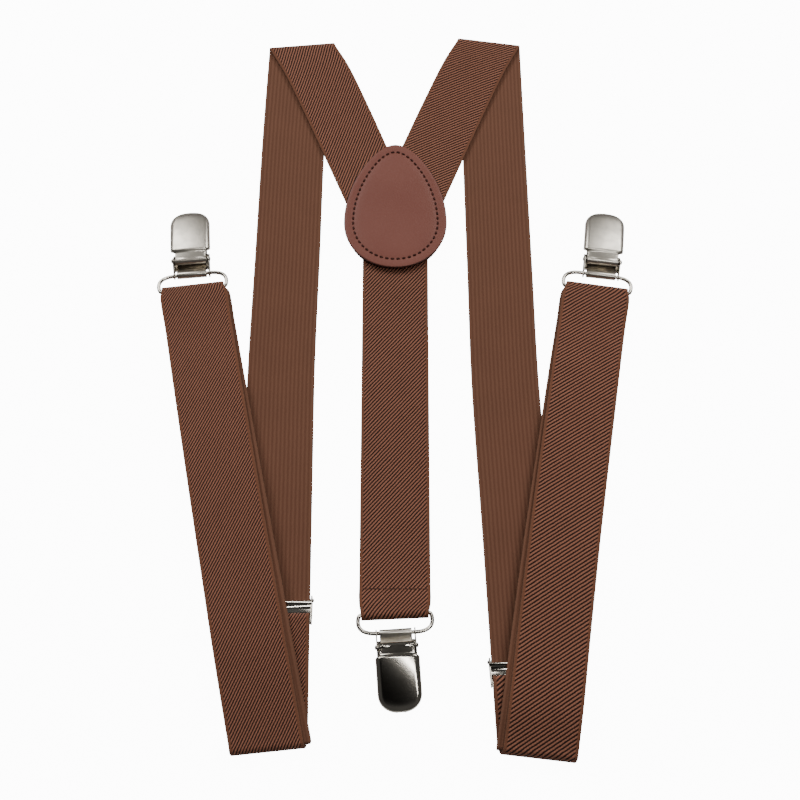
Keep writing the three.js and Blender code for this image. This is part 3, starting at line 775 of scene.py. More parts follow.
class Webbing:
    """One continuous strap through several working solids, cut into pieces where it has to bend."""

    step = 2.0
    face_columns = 36
    ribs = 17
    rib_steps = 5
    rib_depth = 0.09
    edge_round = 0.45
    groove_in = 2.0
    groove_depth = 0.1
    groove_width = 0.35

    def __init__(
        self, nodes: Sequence[str], start_near: Sequence[float], right: Sequence[float]
    ) -> None:
        """Thread the strap through its solids.

        Args:
            nodes: CAD nodes in the order the strap runs through them.
            start_near: a point near its first end, in millimetres.
            right: the direction from its left edge to its right edge at that end.
        """
        chain: list[np.ndarray] = []
        for node in nodes:
            rows = rows_of(node)
            target = chain[-1][-1] if chain else None
            centre = np.array(start_near, float) if target is None else target.mean(0)
            ends = [np.linalg.norm(rows[k].mean(0) - centre) for k in (0, -1)]
            if ends[1] < ends[0]:
                rows = rows[::-1]
            wanted = np.array(right, float) if target is None else target[1] - target[0]
            if (rows[0, 1] - rows[0, 0]) @ wanted < 0:
                rows = rows[:, ::-1]
            if target is not None:
                shared = (target + rows[0]) / 2
                chain[-1][-1] = shared
                rows = rows.copy()
                rows[0] = shared
            chain.append(rows.copy())
        coarse, cuts = [chain[0]], [len(chain[0]) - 1]
        for rows in chain[1:]:
            coarse.append(rows[1:])
            cuts.append(cuts[-1] + len(rows) - 1)
        self.nodes = list(nodes)
        self._refine(np.concatenate(coarse), cuts)

    def _refine(self, coarse: np.ndarray, cuts: Sequence[int]) -> None:
        """Space the rows finely along smooth curves and cut them into runs.

        Args:
            coarse: the rows of all the solids.
            cuts: the number of each solid's last row.
        """
        centre = coarse.mean(1)
        gaps = np.linalg.norm(np.diff(centre, axis=0), axis=1)
        knots = np.concatenate([[0], np.cumsum(np.sqrt(np.maximum(gaps, 1e-4)))])
        fine, marks = [coarse[0]], [0]
        for i, gap in enumerate(gaps):
            p = [coarse[min(max(k, 0), len(coarse) - 1)] for k in (i - 1, i, i + 1, i + 2)]
            t1, t2 = knots[i], knots[i + 1]
            t0 = knots[i - 1] if i else t1 - (t2 - t1)
            t3 = knots[i + 2] if i + 2 < len(knots) else t2 + (t2 - t1)
            if i == 0:
                p[0] = 2 * p[1] - p[2]
            if i + 2 >= len(coarse):
                p[3] = 2 * p[2] - p[1]
            for t in np.linspace(t1, t2, max(2, math.ceil(gap / self.step)) + 1)[1:]:
                a1 = (t1 - t) / (t1 - t0) * p[0] + (t - t0) / (t1 - t0) * p[1]
                a2 = (t2 - t) / (t2 - t1) * p[1] + (t - t1) / (t2 - t1) * p[2]
                a3 = (t3 - t) / (t3 - t2) * p[2] + (t - t2) / (t3 - t2) * p[3]
                b1 = (t2 - t) / (t2 - t0) * a1 + (t - t0) / (t2 - t0) * a2
                b2 = (t3 - t) / (t3 - t1) * a2 + (t - t1) / (t3 - t1) * a3
                fine.append((t2 - t) / (t2 - t1) * b1 + (t - t1) / (t2 - t1) * b2)
            marks.append(len(fine) - 1)
        rows = np.array(fine)
        middle = rows.mean(1)
        steps = np.linalg.norm(np.diff(rows, axis=0), axis=2)
        edges = np.concatenate([np.zeros((1, 2)), np.cumsum(steps, axis=0)])
        along = edges.mean(1)
        skew = (edges[:, 1] - edges[:, 0] + self._lead(rows)) / WEBBING_WIDTH
        normals = np.cross(rows[:, 1] - rows[:, 0], np.gradient(middle, axis=0))
        normals /= np.linalg.norm(normals, axis=1)[:, None]
        self.length = float(along[-1])
        self.runs: list[Run] = []
        first = 0
        for node, cut in zip(self.nodes, cuts):
            last = marks[cut]
            span = slice(first, last + 1)
            self.runs.append(Run(node, rows[span], normals[span], along[span], skew[span]))
            first = last

    @staticmethod
    def _lead(rows: np.ndarray) -> float:
        """Return how far the right edge is ahead of the left edge on the first row."""
        heading = rows[1].mean(0) - rows[0].mean(0)
        return float((rows[0, 1] - rows[0, 0]) @ heading / np.linalg.norm(heading))

    def _section(self) -> tuple[np.ndarray, np.ndarray, list[Zone]]:
        """Return the cross-section: places across, heights, and the zone after each point."""
        half = WEBBING_WIDTH / 2
        across, height, zones = [], [], []
        flat = half - self.edge_round
        for u in np.linspace(-flat, flat, self.face_columns + 1):
            off = (abs(u) - half + self.groove_in) / self.groove_width
            across.append(u)
            height.append(1.0 - self.groove_depth * math.exp(-(off**2)))
            zones.append(Zone.FACE)
        zones[-1] = Zone.EDGE
        for angle in (60, 20, -20, -60):
            across.append(flat + self.edge_round * math.cos(math.radians(angle)))
            height.append(math.sin(math.radians(angle)))
            zones.append(Zone.EDGE)
        count = self.ribs * self.rib_steps
        for u in np.linspace(flat, -flat, count + 1):
            ridge = 0.5 + 0.5 * math.cos(2 * math.pi * u / (WEBBING_WIDTH / self.ribs))
            across.append(u)
            height.append(-1.0 + 2 * self.rib_depth * (1 - ridge))
            zones.append(Zone.REVERSE)
        zones[-1] = Zone.EDGE
        for angle in (-60, -20, 20, 60):
            across.append(-flat - self.edge_round * math.cos(math.radians(angle)))
            height.append(math.sin(math.radians(angle)))
            zones.append(Zone.EDGE)
        return np.array(across), np.array(height), zones

    def solid(self, name: str, runs: Sequence[Run], finishes: Finishes) -> bpy.types.Object:
        """Make one piece of cloth from neighbouring runs.

        Args:
            name: the piece's name.
            runs: the runs it covers.
            finishes: the materials.

        Returns:
            The object, its vertices row by row.
        """
        whole = joined_run(runs)
        rows, normals, along, skew = whole.rows, whole.normals, whole.along, whole.skew
        u, height, zones = self._section()
        middle = rows.mean(1)
        across = (rows[:, 1] - rows[:, 0]) / WEBBING_WIDTH
        points = (
            middle[:, None, :]
            + across[:, None, :] * u[None, :, None]
            + normals[:, None, :] * (height * WEBBING_THICKNESS / 2)[None, :, None]
        )
        m, n = len(rows), len(u)
        faces, slots, corners = [], [], []
        for i in range(m - 1):
            for j in range(n):
                k = (j + 1) % n
                faces.append((i * n + j, i * n + k, (i + 1) * n + k, (i + 1) * n + j))
                slots.append(zones[j].value)
                for row, at in ((i, u[j]), (i, u[k]), (i + 1, u[k]), (i + 1, u[j])):
                    corners.append((at, along[row] + skew[row] * at))
        for i, order in ((0, -1), (m - 1, 1)):
            faces.append(tuple(i * n + j for j in range(n))[::order])
            slots.append(Zone.EDGE.value)
            corners += [(u[j], along[i]) for j in range(n)][::order]
        mesh = bpy.data.meshes.new(name)
        mesh.from_pydata((points.reshape(-1, 3) * MM).tolist(), [], faces)
        for material in (finishes.twill, finishes.reverse, finishes.edge):
            mesh.materials.append(material)
        mesh.polygons.foreach_set("material_index", slots)
        layer = mesh.uv_layers.new(name="Cloth")
        layer.data.foreach_set("uv", (np.array(corners) / 100).ravel().astype(np.float32))
        mesh.update()
        return show(name, smooth_shaded(mesh, 50))


def weigh(piece: bpy.types.Object) -> None:
    """Bake a strap piece's placement into its mesh.

    Args:
        piece: the strap piece.
    """
    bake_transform(piece)


def cloth(piece: bpy.types.Object, length: float, hold: Hold, with_pieces: Sequence = ()) -> None:
    """Take a strap piece's webbing details; nothing is done with them.

    Args:
        piece: the strap piece; not used.
        length: its length laid flat, in millimetres; not used.
        hold: how it is held; not used.
        with_pieces: neighbouring pieces of the same cloth; not used.
    """


# ---- the clip ------------------------------------------------------------------------


@dataclass
class WireLoop:
    """The bent wire between a strap's end and its clip."""

    radius: float = 1.0
    half_span: float = 18.0
    rise: float = 9.2
    corner: float = 16.0
    bar_end: float = 9.5

    def path(self) -> list[np.ndarray]:
        """Return the wire's closed centre line in its own plane, the strap's bar on y = 0."""
        w, h, c, b = self.half_span, self.rise, self.corner, self.bar_end
        points = [np.array((x, 0.0, 0.0)) for x in np.linspace(-c, c, 9)]
        points += bezier((c, 0, 0), (w - 0.8, 0, 0), (w, 0.8, 0), (w, 3.6, 0))
        points += bezier((w, 3.6, 0), (w, 7.6, 0), (14.4, h, 0), (b, h, 0), 14)
        points += [np.array((x, h, 0.0)) for x in np.linspace(b, -b, 9)[1:]]
        points += bezier((-b, h, 0), (-14.4, h, 0), (-w, 7.6, 0), (-w, 3.6, 0), 14)
        points += bezier((-w, 3.6, 0), (-w, 0.8, 0), (0.8 - w, 0, 0), (-c, 0, 0))[:-1]
        return points

    def build(self, name: str, finishes: Finishes) -> bpy.types.Object:
        """Make the loop of one strap end, and let it ride on its body.

        Args:
            name: back, left or right.
            finishes: the materials.

        Returns:
            The wire.
        """
        swivel = joint_of(f"{name}_loop_swivel")
        tilt = joint_of(f"{name}_clip_tilt")
        low, high = Vector(swivel["pos_m"]), Vector(tilt["pos_m"])
        x = Vector(swivel["axis"]).normalized()
        y = (high - low - x * (high - low).dot(x)).normalized()
        place = Matrix((x, y, x.cross(y))).transposed().to_4x4()
        place.translation = low
        piece = Assembly()
        piece.add(rod(self.path(), self.radius, closed=True), finishes.bright)
        made = piece.build(f"{name}_loop_wire", place, 60)
        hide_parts(f"{name}_wire_loop")
        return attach(made, f"{name}_loop")


@dataclass
class Clip:
    """The lever clip: base plate, sprung tongue, cam lever with a long cover, pin and pads."""

    bar: float = 2.4
    wire: float = 1.0
    metal: float = 0.7
    pin_y: float = 7.2
    pin_z: float = 5.4
    pin_radius: float = 0.6
    pin_hole: float = 0.72
    clearance: float = 0.35
    ear: float = 9.0
    base_half: float = 8.4
    base_end: float = 12.5
    heel_half: float = 8.2
    cover_half: float = 10.6
    cover_from: float = 10.9
    toe_from: float = 29.4
    cover_end: float = 38.0
    tongue_half: float = 7.8
    jaw: tuple[float, float] = (27.0, 31.6)

    def lever_line(self, t: float) -> tuple[float, float, float, float]:
        """Return the lever's middle line.

        Args:
            t: from 0 at the cam's edge to 1 at the heel's top, 2 at the toe's start, 3 at its tip.

        Returns:
            y, z, half width and how far the sides turn down.
        """
        bulge, heel_slope = 0.8, 0.16
        dip = heel_slope * (self.cover_from - self.pin_y)
        if t <= 1:
            angle = math.radians(272 - 182 * t)
            radius = 2.26 + (1.14 - bulge - dip) * eased(2 * t - 1)
            if t < 0.5:
                radius = 2.86 - 1.2 * t
            return (
                self.pin_y + radius * math.cos(angle),
                self.pin_z + radius * math.sin(angle),
                self.heel_half,
                0.0,
            )
        heel_top, toe_top, slope, sides = self.pin_z + 3.4, self.pin_z + 0.2, 0.25, 2.4
        if t <= 2:
            s = t - 1
            y = self.pin_y + (self.toe_from - self.pin_y) * s
            broad = eased((y - self.cover_from) / 1.8)
            fall, run = toe_top - heel_top, slope * (self.pin_y - self.toe_from)
            below = bulge * (1 - broad) + heel_slope * max(0.0, self.cover_from - y)
            return (
                y,
                heel_top + (2 * fall - run) * s + (run - fall) * s * s - below,
                self.heel_half + (self.cover_half - self.heel_half) * broad,
                0.2 + (sides - 0.2) * broad,
            )
        s = t - 2
        out = (self.cover_end - self.toe_from) * math.sin(s * math.pi / 2)
        return (
            self.toe_from + out,
            toe_top - slope * out - 1.85 * s**3,
            max(2.2, self.cover_half * max(math.cos(s * math.pi / 2), 0) ** 0.8),
            sides * (1 - s) + 0.3 * s,
        )

    def cover(self) -> bpy.types.Mesh:
        """Return the lever's curled heel and long rounded cover as a shell."""
        stops = [*np.linspace(0, 1, 15), *np.linspace(1, 2, 41)[1:], *np.linspace(2, 3, 19)[1:]]
        columns = 32
        verts, faces = [], []
        for t in stops:
            y, z, half, skirt = self.lever_line(t)
            for j in range(columns + 1):
                side = 2 * j / columns - 1
                edge = max(0.0, abs(side) - 0.72) / 0.28
                x = half * (0.96 * max(-1, min(1, side / 0.86)) + 0.04 * side)
                drop = 0.7 * side * side + skirt * edge**1.35
                verts.append((x, y, z - (drop if skirt else 0)))
        n = columns + 1
        for i in range(len(stops) - 1):
            for j in range(columns):
                faces.append((i * n + j, i * n + j + 1, (i + 1) * n + j + 1, (i + 1) * n + j))
        mesh = bpy.data.meshes.new("cover")
        mesh.from_pydata(verts, [], faces)
        mesh.update()

        def thicken(owner: bpy.types.Object) -> None:
            shell = owner.modifiers.new("thickness", "SOLIDIFY")
            shell.thickness = self.metal - 0.1
            shell.offset = -1
            rim = owner.modifiers.new("rim", "BEVEL")
            rim.width = 0.14
            rim.segments = 2
            rim.limit_method = "ANGLE"
            rim.angle_limit = math.radians(55)
            owner.modifiers.new("round", "SUBSURF").levels = 1

        return evaluated(mesh, thicken)

    def lever(self, name: str, place: Matrix, finish: bpy.types.Material) -> bpy.types.Object:
        """Make the lever with its two ears.

        Args:
            name: back, left or right.
            place: the clip's own frame.
            finish: the cover's finish.

        Returns:
            The lever.
        """
        piece = Assembly()
        piece.add(self.cover(), finish)
        outline = arc(self.pin_y, self.pin_z, 1.7, 200, 300, 14)
        outline += [(11.5, 7.0), (9.8, 7.3), (6.9, 6.9)]
        hole = arc(self.pin_y, self.pin_z, self.pin_hole, 360, 20, 16)
        for x in (self.heel_half - 0.72, 0.08 - self.heel_half):
            piece.add(plate(outline, x, x + 0.64, 0.06, [hole]), finish)
        made = piece.build(f"{name}_lever_cover", place, 45)
        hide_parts(f"{name}_clip_lever")
        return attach(made, f"{name}_lever")

    def base(self, name: str, place: Matrix, finishes: Finishes) -> bpy.types.Object:
        """Make the base plate, ears, jaw lip and pin.

        Args:
            name: back, left or right.
            place: the clip's own frame.
            finishes: the materials.

        Returns:
            The base plate.
        """
        bottom = self.bar - self.wire - self.clearance - self.metal
        top = bottom + self.metal
        inner = self.wire + self.clearance
        half, end = self.base_half, self.base_end
        piece = Assembly()
        piece.add(block((-self.ear, 3.2, bottom), (self.ear, end, top), 0.1), finishes.bright)
        piece.add(block((-half, 12, bottom), (half, self.jaw[1] + 1, top), 0.1), finishes.bright)
        lip = (-half, self.jaw[1] + 0.4, bottom), (half, self.jaw[1] + 1, bottom + 1.7)
        piece.add(block(*lip, 0.12), finishes.bright)
        ear = arc(0, self.bar, inner + self.metal, -100, -300, 26)
        ear += arc(self.pin_y, self.pin_z, 1.6, 120, -20, 16)
        ear += [(end, top), (end, bottom)]
        holes = [
            arc(0, self.bar, inner, 360, 20, 20),
            arc(self.pin_y, self.pin_z, self.pin_hole, 360, 20, 16),
        ]
        for x in (self.ear, -self.ear - self.metal):
            piece.add(plate(ear, x, x + self.metal, 0.1, holes), finishes.bright)
        reach = self.ear + self.metal + 0.3
        pin = rod([(x, self.pin_y, self.pin_z) for x in (-reach, reach)], self.pin_radius)
        piece.add(pin, finishes.rivet)
        for side in (-1, 1):
            spot = Matrix.Translation((side * reach, self.pin_y, self.pin_z))
            piece.add(domed_head(1.15, 0.55), finishes.rivet, spot)
        made = piece.build(f"{name}_base_plate", place)
        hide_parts(f"{name}_clip_base", f"{name}_clip_pin")
        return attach(made, f"{name}_clip")

    def tongue(self, name: str, place: Matrix, finishes: Finishes) -> bpy.types.Object:
        """Make the sprung tongue that carries the upper jaw.

        Args:
            name: back, left or right.
            place: the clip's own frame.
            finishes: the materials.

        Returns:
            The tongue.
        """
        inner = self.wire + self.clearance
        near, far = self.jaw[0] - 1, self.jaw[1] + 0.6
        outline = arc(0, self.bar, inner + 0.6, -60, -298, 26)
        outline += [(3.2, 2.9), (5, 2.2), (9.5, 2.2), (near, 3.6), (far, 3.6)]
        outline += [(far, 3), (near, 3), (9.5, 1.6), (4.8, 1.6), (2.6, 2.3)]
        outline += arc(0, self.bar, inner, -310, -60, 26)
        piece = Assembly()
        piece.add(plate(outline, -self.tongue_half, self.tongue_half, 0.08), finishes.satin)
        made = piece.build(f"{name}_tongue_plate", place)
        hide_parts(f"{name}_clip_tongue")
        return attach(made, f"{name}_tongue")

    def pads(self, name: str, place: Matrix, finishes: Finishes) -> None:
        """Make the two plastic jaw pads, each with grip ridges across it.

        Args:
            name: back, left or right.
            place: the clip's own frame.
            finishes: the materials.
        """
        for part, body, low, high in (
            ("lower", "clip", 1.35, 1.95),
            ("upper", "tongue", 2.15, 2.75),
        ):
            piece = Assembly()
            piece.add(block((-7.6, self.jaw[0], low), (7.6, self.jaw[1], high), 0.1), finishes.pad)
            face = high if part == "lower" else low
            for y in np.linspace(self.jaw[0] + 0.6, self.jaw[1] - 0.6, 5):
                piece.add(rod([(-7.3, y, face), (7.3, y, face)], 0.08), finishes.pad)
            made = piece.build(f"{name}_{part}_jaw_pad", place)
            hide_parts(f"{name}_clip_{part}_pad")
            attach(made, f"{name}_{body}")

    def build(self, name: str, finishes: Finishes, cover_finish: bpy.types.Material) -> None:
        """Make one clip at its place.

        Args:
            name: back, left or right.
            finishes: the materials.
            cover_finish: the finish of its cover.
        """
        tilt, lever = joint_of(f"{name}_clip_tilt"), joint_of(f"{name}_lever_open")
        place = local_frame(tilt["pos_m"], lever["axis"], 0.0)
        self.lever(name, place, cover_finish)
        self.base(name, place, finishes)
        self.tongue(name, place, finishes)
        self.pads(name, place, finishes)


# ---- the adjuster --------------------------------------------------------------------


@dataclass
class Adjuster:
    """The slide adjuster: a frame round the strap and a toothed lever that grips it."""

    metal: float = 0.7
    arm: float = 17.9
    pin_z: float = -2.0
    plate_y: tuple[float, float] = (-7.0, -1.0)
    plate_z: float = 1.0
    bar_y: tuple[float, float] = (-12.6, -9.6)
    bar_z: float = 3.2
    lever_end: float = -11.5

    def build(self, side: Side, finishes: Finishes) -> None:
        """Make one adjuster at its place.

        Args:
            side: which strap it is on.
            finishes: the materials.
        """
        name = side.value
        grip = joint_of(f"{name}_grip_open")
        height = grip["pos_m"][2] - self.pin_z * MM
        place = local_frame(grip["pos_m"], grip["axis"], height)
        outside = self.arm + self.metal
        piece = Assembly()
        far, near = self.plate_y
        low, top = self.plate_z, self.plate_z + self.metal
        lips = [(far, low), (near - 0.4, low), (near, low + 0.3), (near, top + 0.3)]
        lips += [(near - 0.3, top + 0.55), (near - 1.2, top + 0.55), (near - 1.8, top + 0.2)]
        lips += [(near - 2.2, top), (far + 1.1, top), (far + 0.7, top + 0.3), (far, top + 0.3)]
        piece.add(plate(lips, -outside, outside, 0.1), finishes.mirror)
        bar_low = (-outside, self.bar_y[0], self.bar_z - 0.5)
        bar_high = (outside, self.bar_y[1], self.bar_z + 0.5)
        piece.add(block(bar_low, bar_high, 0.2), finishes.bright)
        outline = arc(0, self.pin_z, 0.95, -170, -20, 14)
        outline += [(1.5, top), (far, top + 0.4)]
        outline += [(self.bar_y[1], self.bar_z + 1), (self.bar_y[0] - 0.4, self.bar_z + 1)]
        outline += [(self.bar_y[0] - 0.4, self.bar_z - 1), (far, self.pin_z + 1.2)]
        for x in (self.arm, -outside):
            piece.add(plate(outline, x, x + self.metal, 0.1), finishes.bright)
        reach = outside + 0.25
        piece.add(rod([(x, 0, self.pin_z) for x in (-reach, reach)], 0.5), finishes.rivet)
        for end in (-1, 1):
            spot = Matrix.Translation((end * reach, 0, self.pin_z))
            piece.add(domed_head(0.85, 0.4), finishes.rivet, spot)
        made = piece.build(f"{name}_adjuster_body", place)
        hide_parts(f"{name}_adjuster_frame", f"{name}_adjuster_pin")
        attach(made, f"{name}_adjuster")
        self._grip(name, place, finishes)

    def _grip(self, name: str, place: Matrix, finishes: Finishes) -> None:
        """Make the toothed lever.

        Args:
            name: left or right.
            place: the adjuster's own frame.
            finishes: the materials.
        """
        z, end = self.pin_z, self.lever_end
        outline = arc(0, z, 0.95, -90, 150, 18)
        outline += [(-1.6, z + 0.9), (-1.8, z - 0.4), (end, z - 0.4), (end, z - 0.92)]
        piece = Assembly()
        half = self.arm - 0.35
        piece.add(plate(outline, -half, half, 0.06), finishes.bright)
        for x in np.linspace(-half + 1, half - 1, 17):
            tooth = [(0.75, z + 0.7), (1.05, z + 1.1), (0.3, z + 0.95)]
            piece.add(plate(tooth, x - 0.4, x + 0.4, 0.03), finishes.bright)
        made = piece.build(f"{name}_adjuster_grip_plate", place)
        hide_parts(f"{name}_adjuster_lever")
        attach(made, f"{name}_adjuster_grip")


# ---- the patch -----------------------------------------------------------------------


@dataclass
class Patch:
    """The egg-shaped leather patch where the three straps meet, in two layers sewn together."""

    height: float = 76.0
    half_width: float = 27.8
    top: float = 131.2
    thickness: float = 1.3
    stitch_inset: float = 5.0
    stitches: int = 58

    def edge_point(self, angle: float, inset: float) -> tuple[float, float]:
        """Find a point of the egg-shaped outline.

        Args:
            angle: the turn from the top, in radians.
            inset: how far the point is drawn in from the edge.

        Returns:
            Its x and y.
        """
        c, s = math.cos(angle), math.sin(angle)
        widest = -0.64 * self.height
        reach = -widest if c > 0 else self.height + widest
        lean = abs(s) ** (1.1 + 0.34 * abs(s) if c > 0 else 0.96)
        x = math.copysign((self.half_width - inset) * lean, s)
        return x, self.top + widest + c * (reach - inset)

    def layer(
        self, name: str, bottom: float, inset: float, face_up: bool, finishes: Finishes
    ) -> bpy.types.Object:
        """Make one leather layer.

        Args:
            name: the piece's name.
            bottom: the height of its underside.
            inset: how far it stays inside the full outline.
            face_up: whether its smooth side is the upper one.
            finishes: the materials.

        Returns:
            The layer.
        """
        count = 144
        rings = [
            (0.0, 0.55),
            (0.12, 0.28),
            (0.35, 0.1),
            (0.8, 0.02),
            (1.8, 0.0),
            (3.4, 0.0),
            (4.3, 0.05),
            (5.0, 0.16),
            (5.7, 0.05),
            (7.0, -0.08),
            (10.0, -0.2),
            (15.0, -0.26),
            (21.0, -0.28),
            (26.0, -0.28),
        ]
        verts, faces, slots = [], [], []
        sign = 1 if face_up else -1
        face_z = bottom + (self.thickness if face_up else 0.0)
        back_z = bottom + (0.0 if face_up else self.thickness)
        for depth, drop in rings:
            sunk = drop if face_up else max(drop, 0.0)
            for k in range(count):
                x, y = self.edge_point(2 * math.pi * k / count, inset + depth)
                verts.append((x, y, face_z - sign * sunk))
        for depth, lift in ((0.0, 0.3), (0.3, 0.0), (20.0, 0.0)):
            for k in range(count):
                x, y = self.edge_point(2 * math.pi * k / count, inset + depth)
                verts.append((x, y, back_z + sign * lift))
        total = len(rings)
        order = list(range(total - 1, -1, -1)) + list(range(total, total + 3))
        for step, (a, b) in enumerate(zip(order, order[1:])):
            for k in range(count):
                n = (k + 1) % count
                quad = (a * count + k, a * count + n, b * count + n, b * count + k)
                faces.append(quad if face_up else quad[::-1])
                slots.append(1 if total - 3 <= step <= total else 0)
        inner = tuple((total - 1) * count + k for k in range(count))
        outer = tuple((total + 2) * count + k for k in range(count))
        faces += [inner[::-1] if face_up else inner, outer if face_up else outer[::-1]]
        slots += [0, 0]
        mesh = bpy.data.meshes.new(name)
        mesh.from_pydata([tuple(c * MM for c in v) for v in verts], [], faces)
        mesh.materials.append(finishes.leather)
        mesh.materials.append(finishes.leather_edge)
        mesh.polygons.foreach_set("material_index", slots)
        made = show(name, smooth_shaded(mesh, 60))
        return made

    def sewing(self, name: str, height: float, finishes: Finishes) -> bpy.types.Object:
        """Make the line of stitches that runs round the patch.

        Args:
            name: the piece's name.
            height: the height of the threads' middle.
            finishes: the materials.

        Returns:
            The stitches.
        """
        fine = 720
        line = np.array(
            [self.edge_point(2 * math.pi * k / fine, self.stitch_inset) for k in range(fine + 1)]
        )
        lengths = np.concatenate([[0], np.cumsum(np.linalg.norm(np.diff(line, axis=0), axis=1))])
        pitch = lengths[-1] / self.stitches
        piece = Assembly()
        for k in range(self.stitches):
            x, y, ahead_x, ahead_y = (
                np.interp((k + share) * pitch, lengths, line[:, axis])
                for share in (0.5, 0.52)
                for axis in (0, 1)
            )
            angle = math.atan2(ahead_y - y, ahead_x - x)
            turn = Matrix.Translation((x, y, height)) @ Matrix.Rotation(angle, 4, "Z")
            piece.add(stitch_mesh(0.46 * pitch, 0.5), finishes.thread, turn)
        made = piece.build(name, Matrix.Identity(4), 60)
        return made

    def build(self, finishes: Finishes) -> None:
        """Make both layers and the stitching."""
        front_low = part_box("patch_front")[0].z / MM
        back_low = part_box("patch_back")[0].z / MM
        front = self.layer("patch_front_leather", front_low, 0.0, True, finishes)
        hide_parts("patch_front")
        back = self.layer("patch_back_leather", back_low, 1.2, False, finishes)
        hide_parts("patch_back")
        face = front_low + self.thickness
        sewing = self.sewing("patch_stitches", face - 0.16, finishes)
        for piece in (front, back, sewing):
            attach(piece, "back_assembly")


# ---- straps on their bodies ----------------------------------------------------------


@dataclass
class FrontHalf:
    """One side: a strap from the patch over the shoulder, to its clip and back to its adjuster."""

    side: Side
    finishes: Finishes
    stretches: tuple[str, ...] = (
        "shoulder_strap",
        "fold_outer",
        "front_strap_outer",
        "wire_turn",
        "front_strap_inner",
        "fold_inner",
        "return_strap",
    )

    def build(self) -> None:
        """Make the strap's seven pieces, and attach the shoulder and wire-turn pieces to their
        bodies.
        """
        name = self.side.value
        nodes = [f"{name}_{part}" for part in self.stretches]
        strap = Webbing(nodes, (0, 110, 4), (1, 0, 0))
        pieces = []
        for run in strap.runs:
            piece = strap.solid(f"{run.name}_webbing", [run], self.finishes)
            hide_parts(run.name)
            pieces.append(piece)
        shoulder, fold_out, front_out, turn, front_in, fold_in, back = zip(pieces, strap.runs)
        root, front = "back_assembly", f"{name}_front_strap"
        end, adjuster = f"{name}_strap_end", f"{name}_adjuster"
        for (piece, run), parent, child, weights in (
            (fold_out, root, front, fold_out[1].share),
            (fold_in, root, front, 1 - fold_in[1].share),
            (front_out, front, end, front_out[1].share),
            (front_in, front, end, 1 - front_in[1].share),
            (back, root, adjuster, self._reach(back[1])),
        ):
            weigh(piece)
        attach(shoulder[0], root)
        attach(turn[0], end)
        lengths = [float(r.along[-1] - r.along[0]) for r in strap.runs]
        cloth(shoulder[0], lengths[0], Hold.FOLDED, [fold_out[0], fold_in[0]])
        cloth(front_out[0], lengths[2], Hold.LAID, [turn[0]])
        cloth(front_in[0], lengths[4], Hold.LAID)
        cloth(back[0], lengths[6], Hold.FOLDED)
        log.info("%s strap: %.0f mm of webbing", name, strap.length)

    @staticmethod
    def _reach(run: Run) -> np.ndarray:
        """Weigh the return strap.

        Args:
            run: its rows.

        Returns:
            One weight per row, 0 at the fold and 1 from the adjuster's bar on.
        """
        y = run.rows.mean(1)[:, 1]
        top = int(np.argmax(y))
        share = (run.along - run.along[0]) / max(run.along[max(top - 6, 1)] - run.along[0], 1e-6)
        return np.clip(share, 0, 1)


@dataclass
class BackStrap:
    """The centre strap from the patch to the back clip, its end turned round the wire and sewn."""

    finishes: Finishes
    bend_y: float = 47.0
    bend_length: float = 14.0
    seam_y: float = -119.2
    seam_width: float = WEBBING_WIDTH - 3
    stitches: int = 13

    def build(self) -> None:
        """Make the strap and its seam."""
        strap = Webbing(["back_strap_top", "back_strap"], (0, 114, 2), (-1, 0, 0))
        piece = strap.solid("back_strap_webbing", strap.runs, self.finishes)
        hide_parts("back_strap_top", "back_strap")
        whole = joined_run(strap.runs)
        y = whole.rows.mean(1)[:, 1]
        weigh(piece)
        cloth(piece, strap.length, Hold.LAID)
        top = int(np.argmin(np.abs(y - self.seam_y)))
        height = whole.rows[top].mean(0)[2] + WEBBING_THICKNESS / 2
        seam = Assembly()
        pitch = self.seam_width / self.stitches
        for k in range(self.stitches):
            x = (k + 0.5) * pitch - self.seam_width / 2
            place = Matrix.Translation((x, self.seam_y, height - 0.12))
            seam.add(stitch_mesh(0.8 * pitch, 0.26), self.finishes.seam, place)
        made = seam.build("back_strap_seam", Matrix.Identity(4), 60)
        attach(made, "lower_back_strap")
        log.info("back strap: %.0f mm of webbing", strap.length)


# ---- studio --------------------------------------------------------------------------


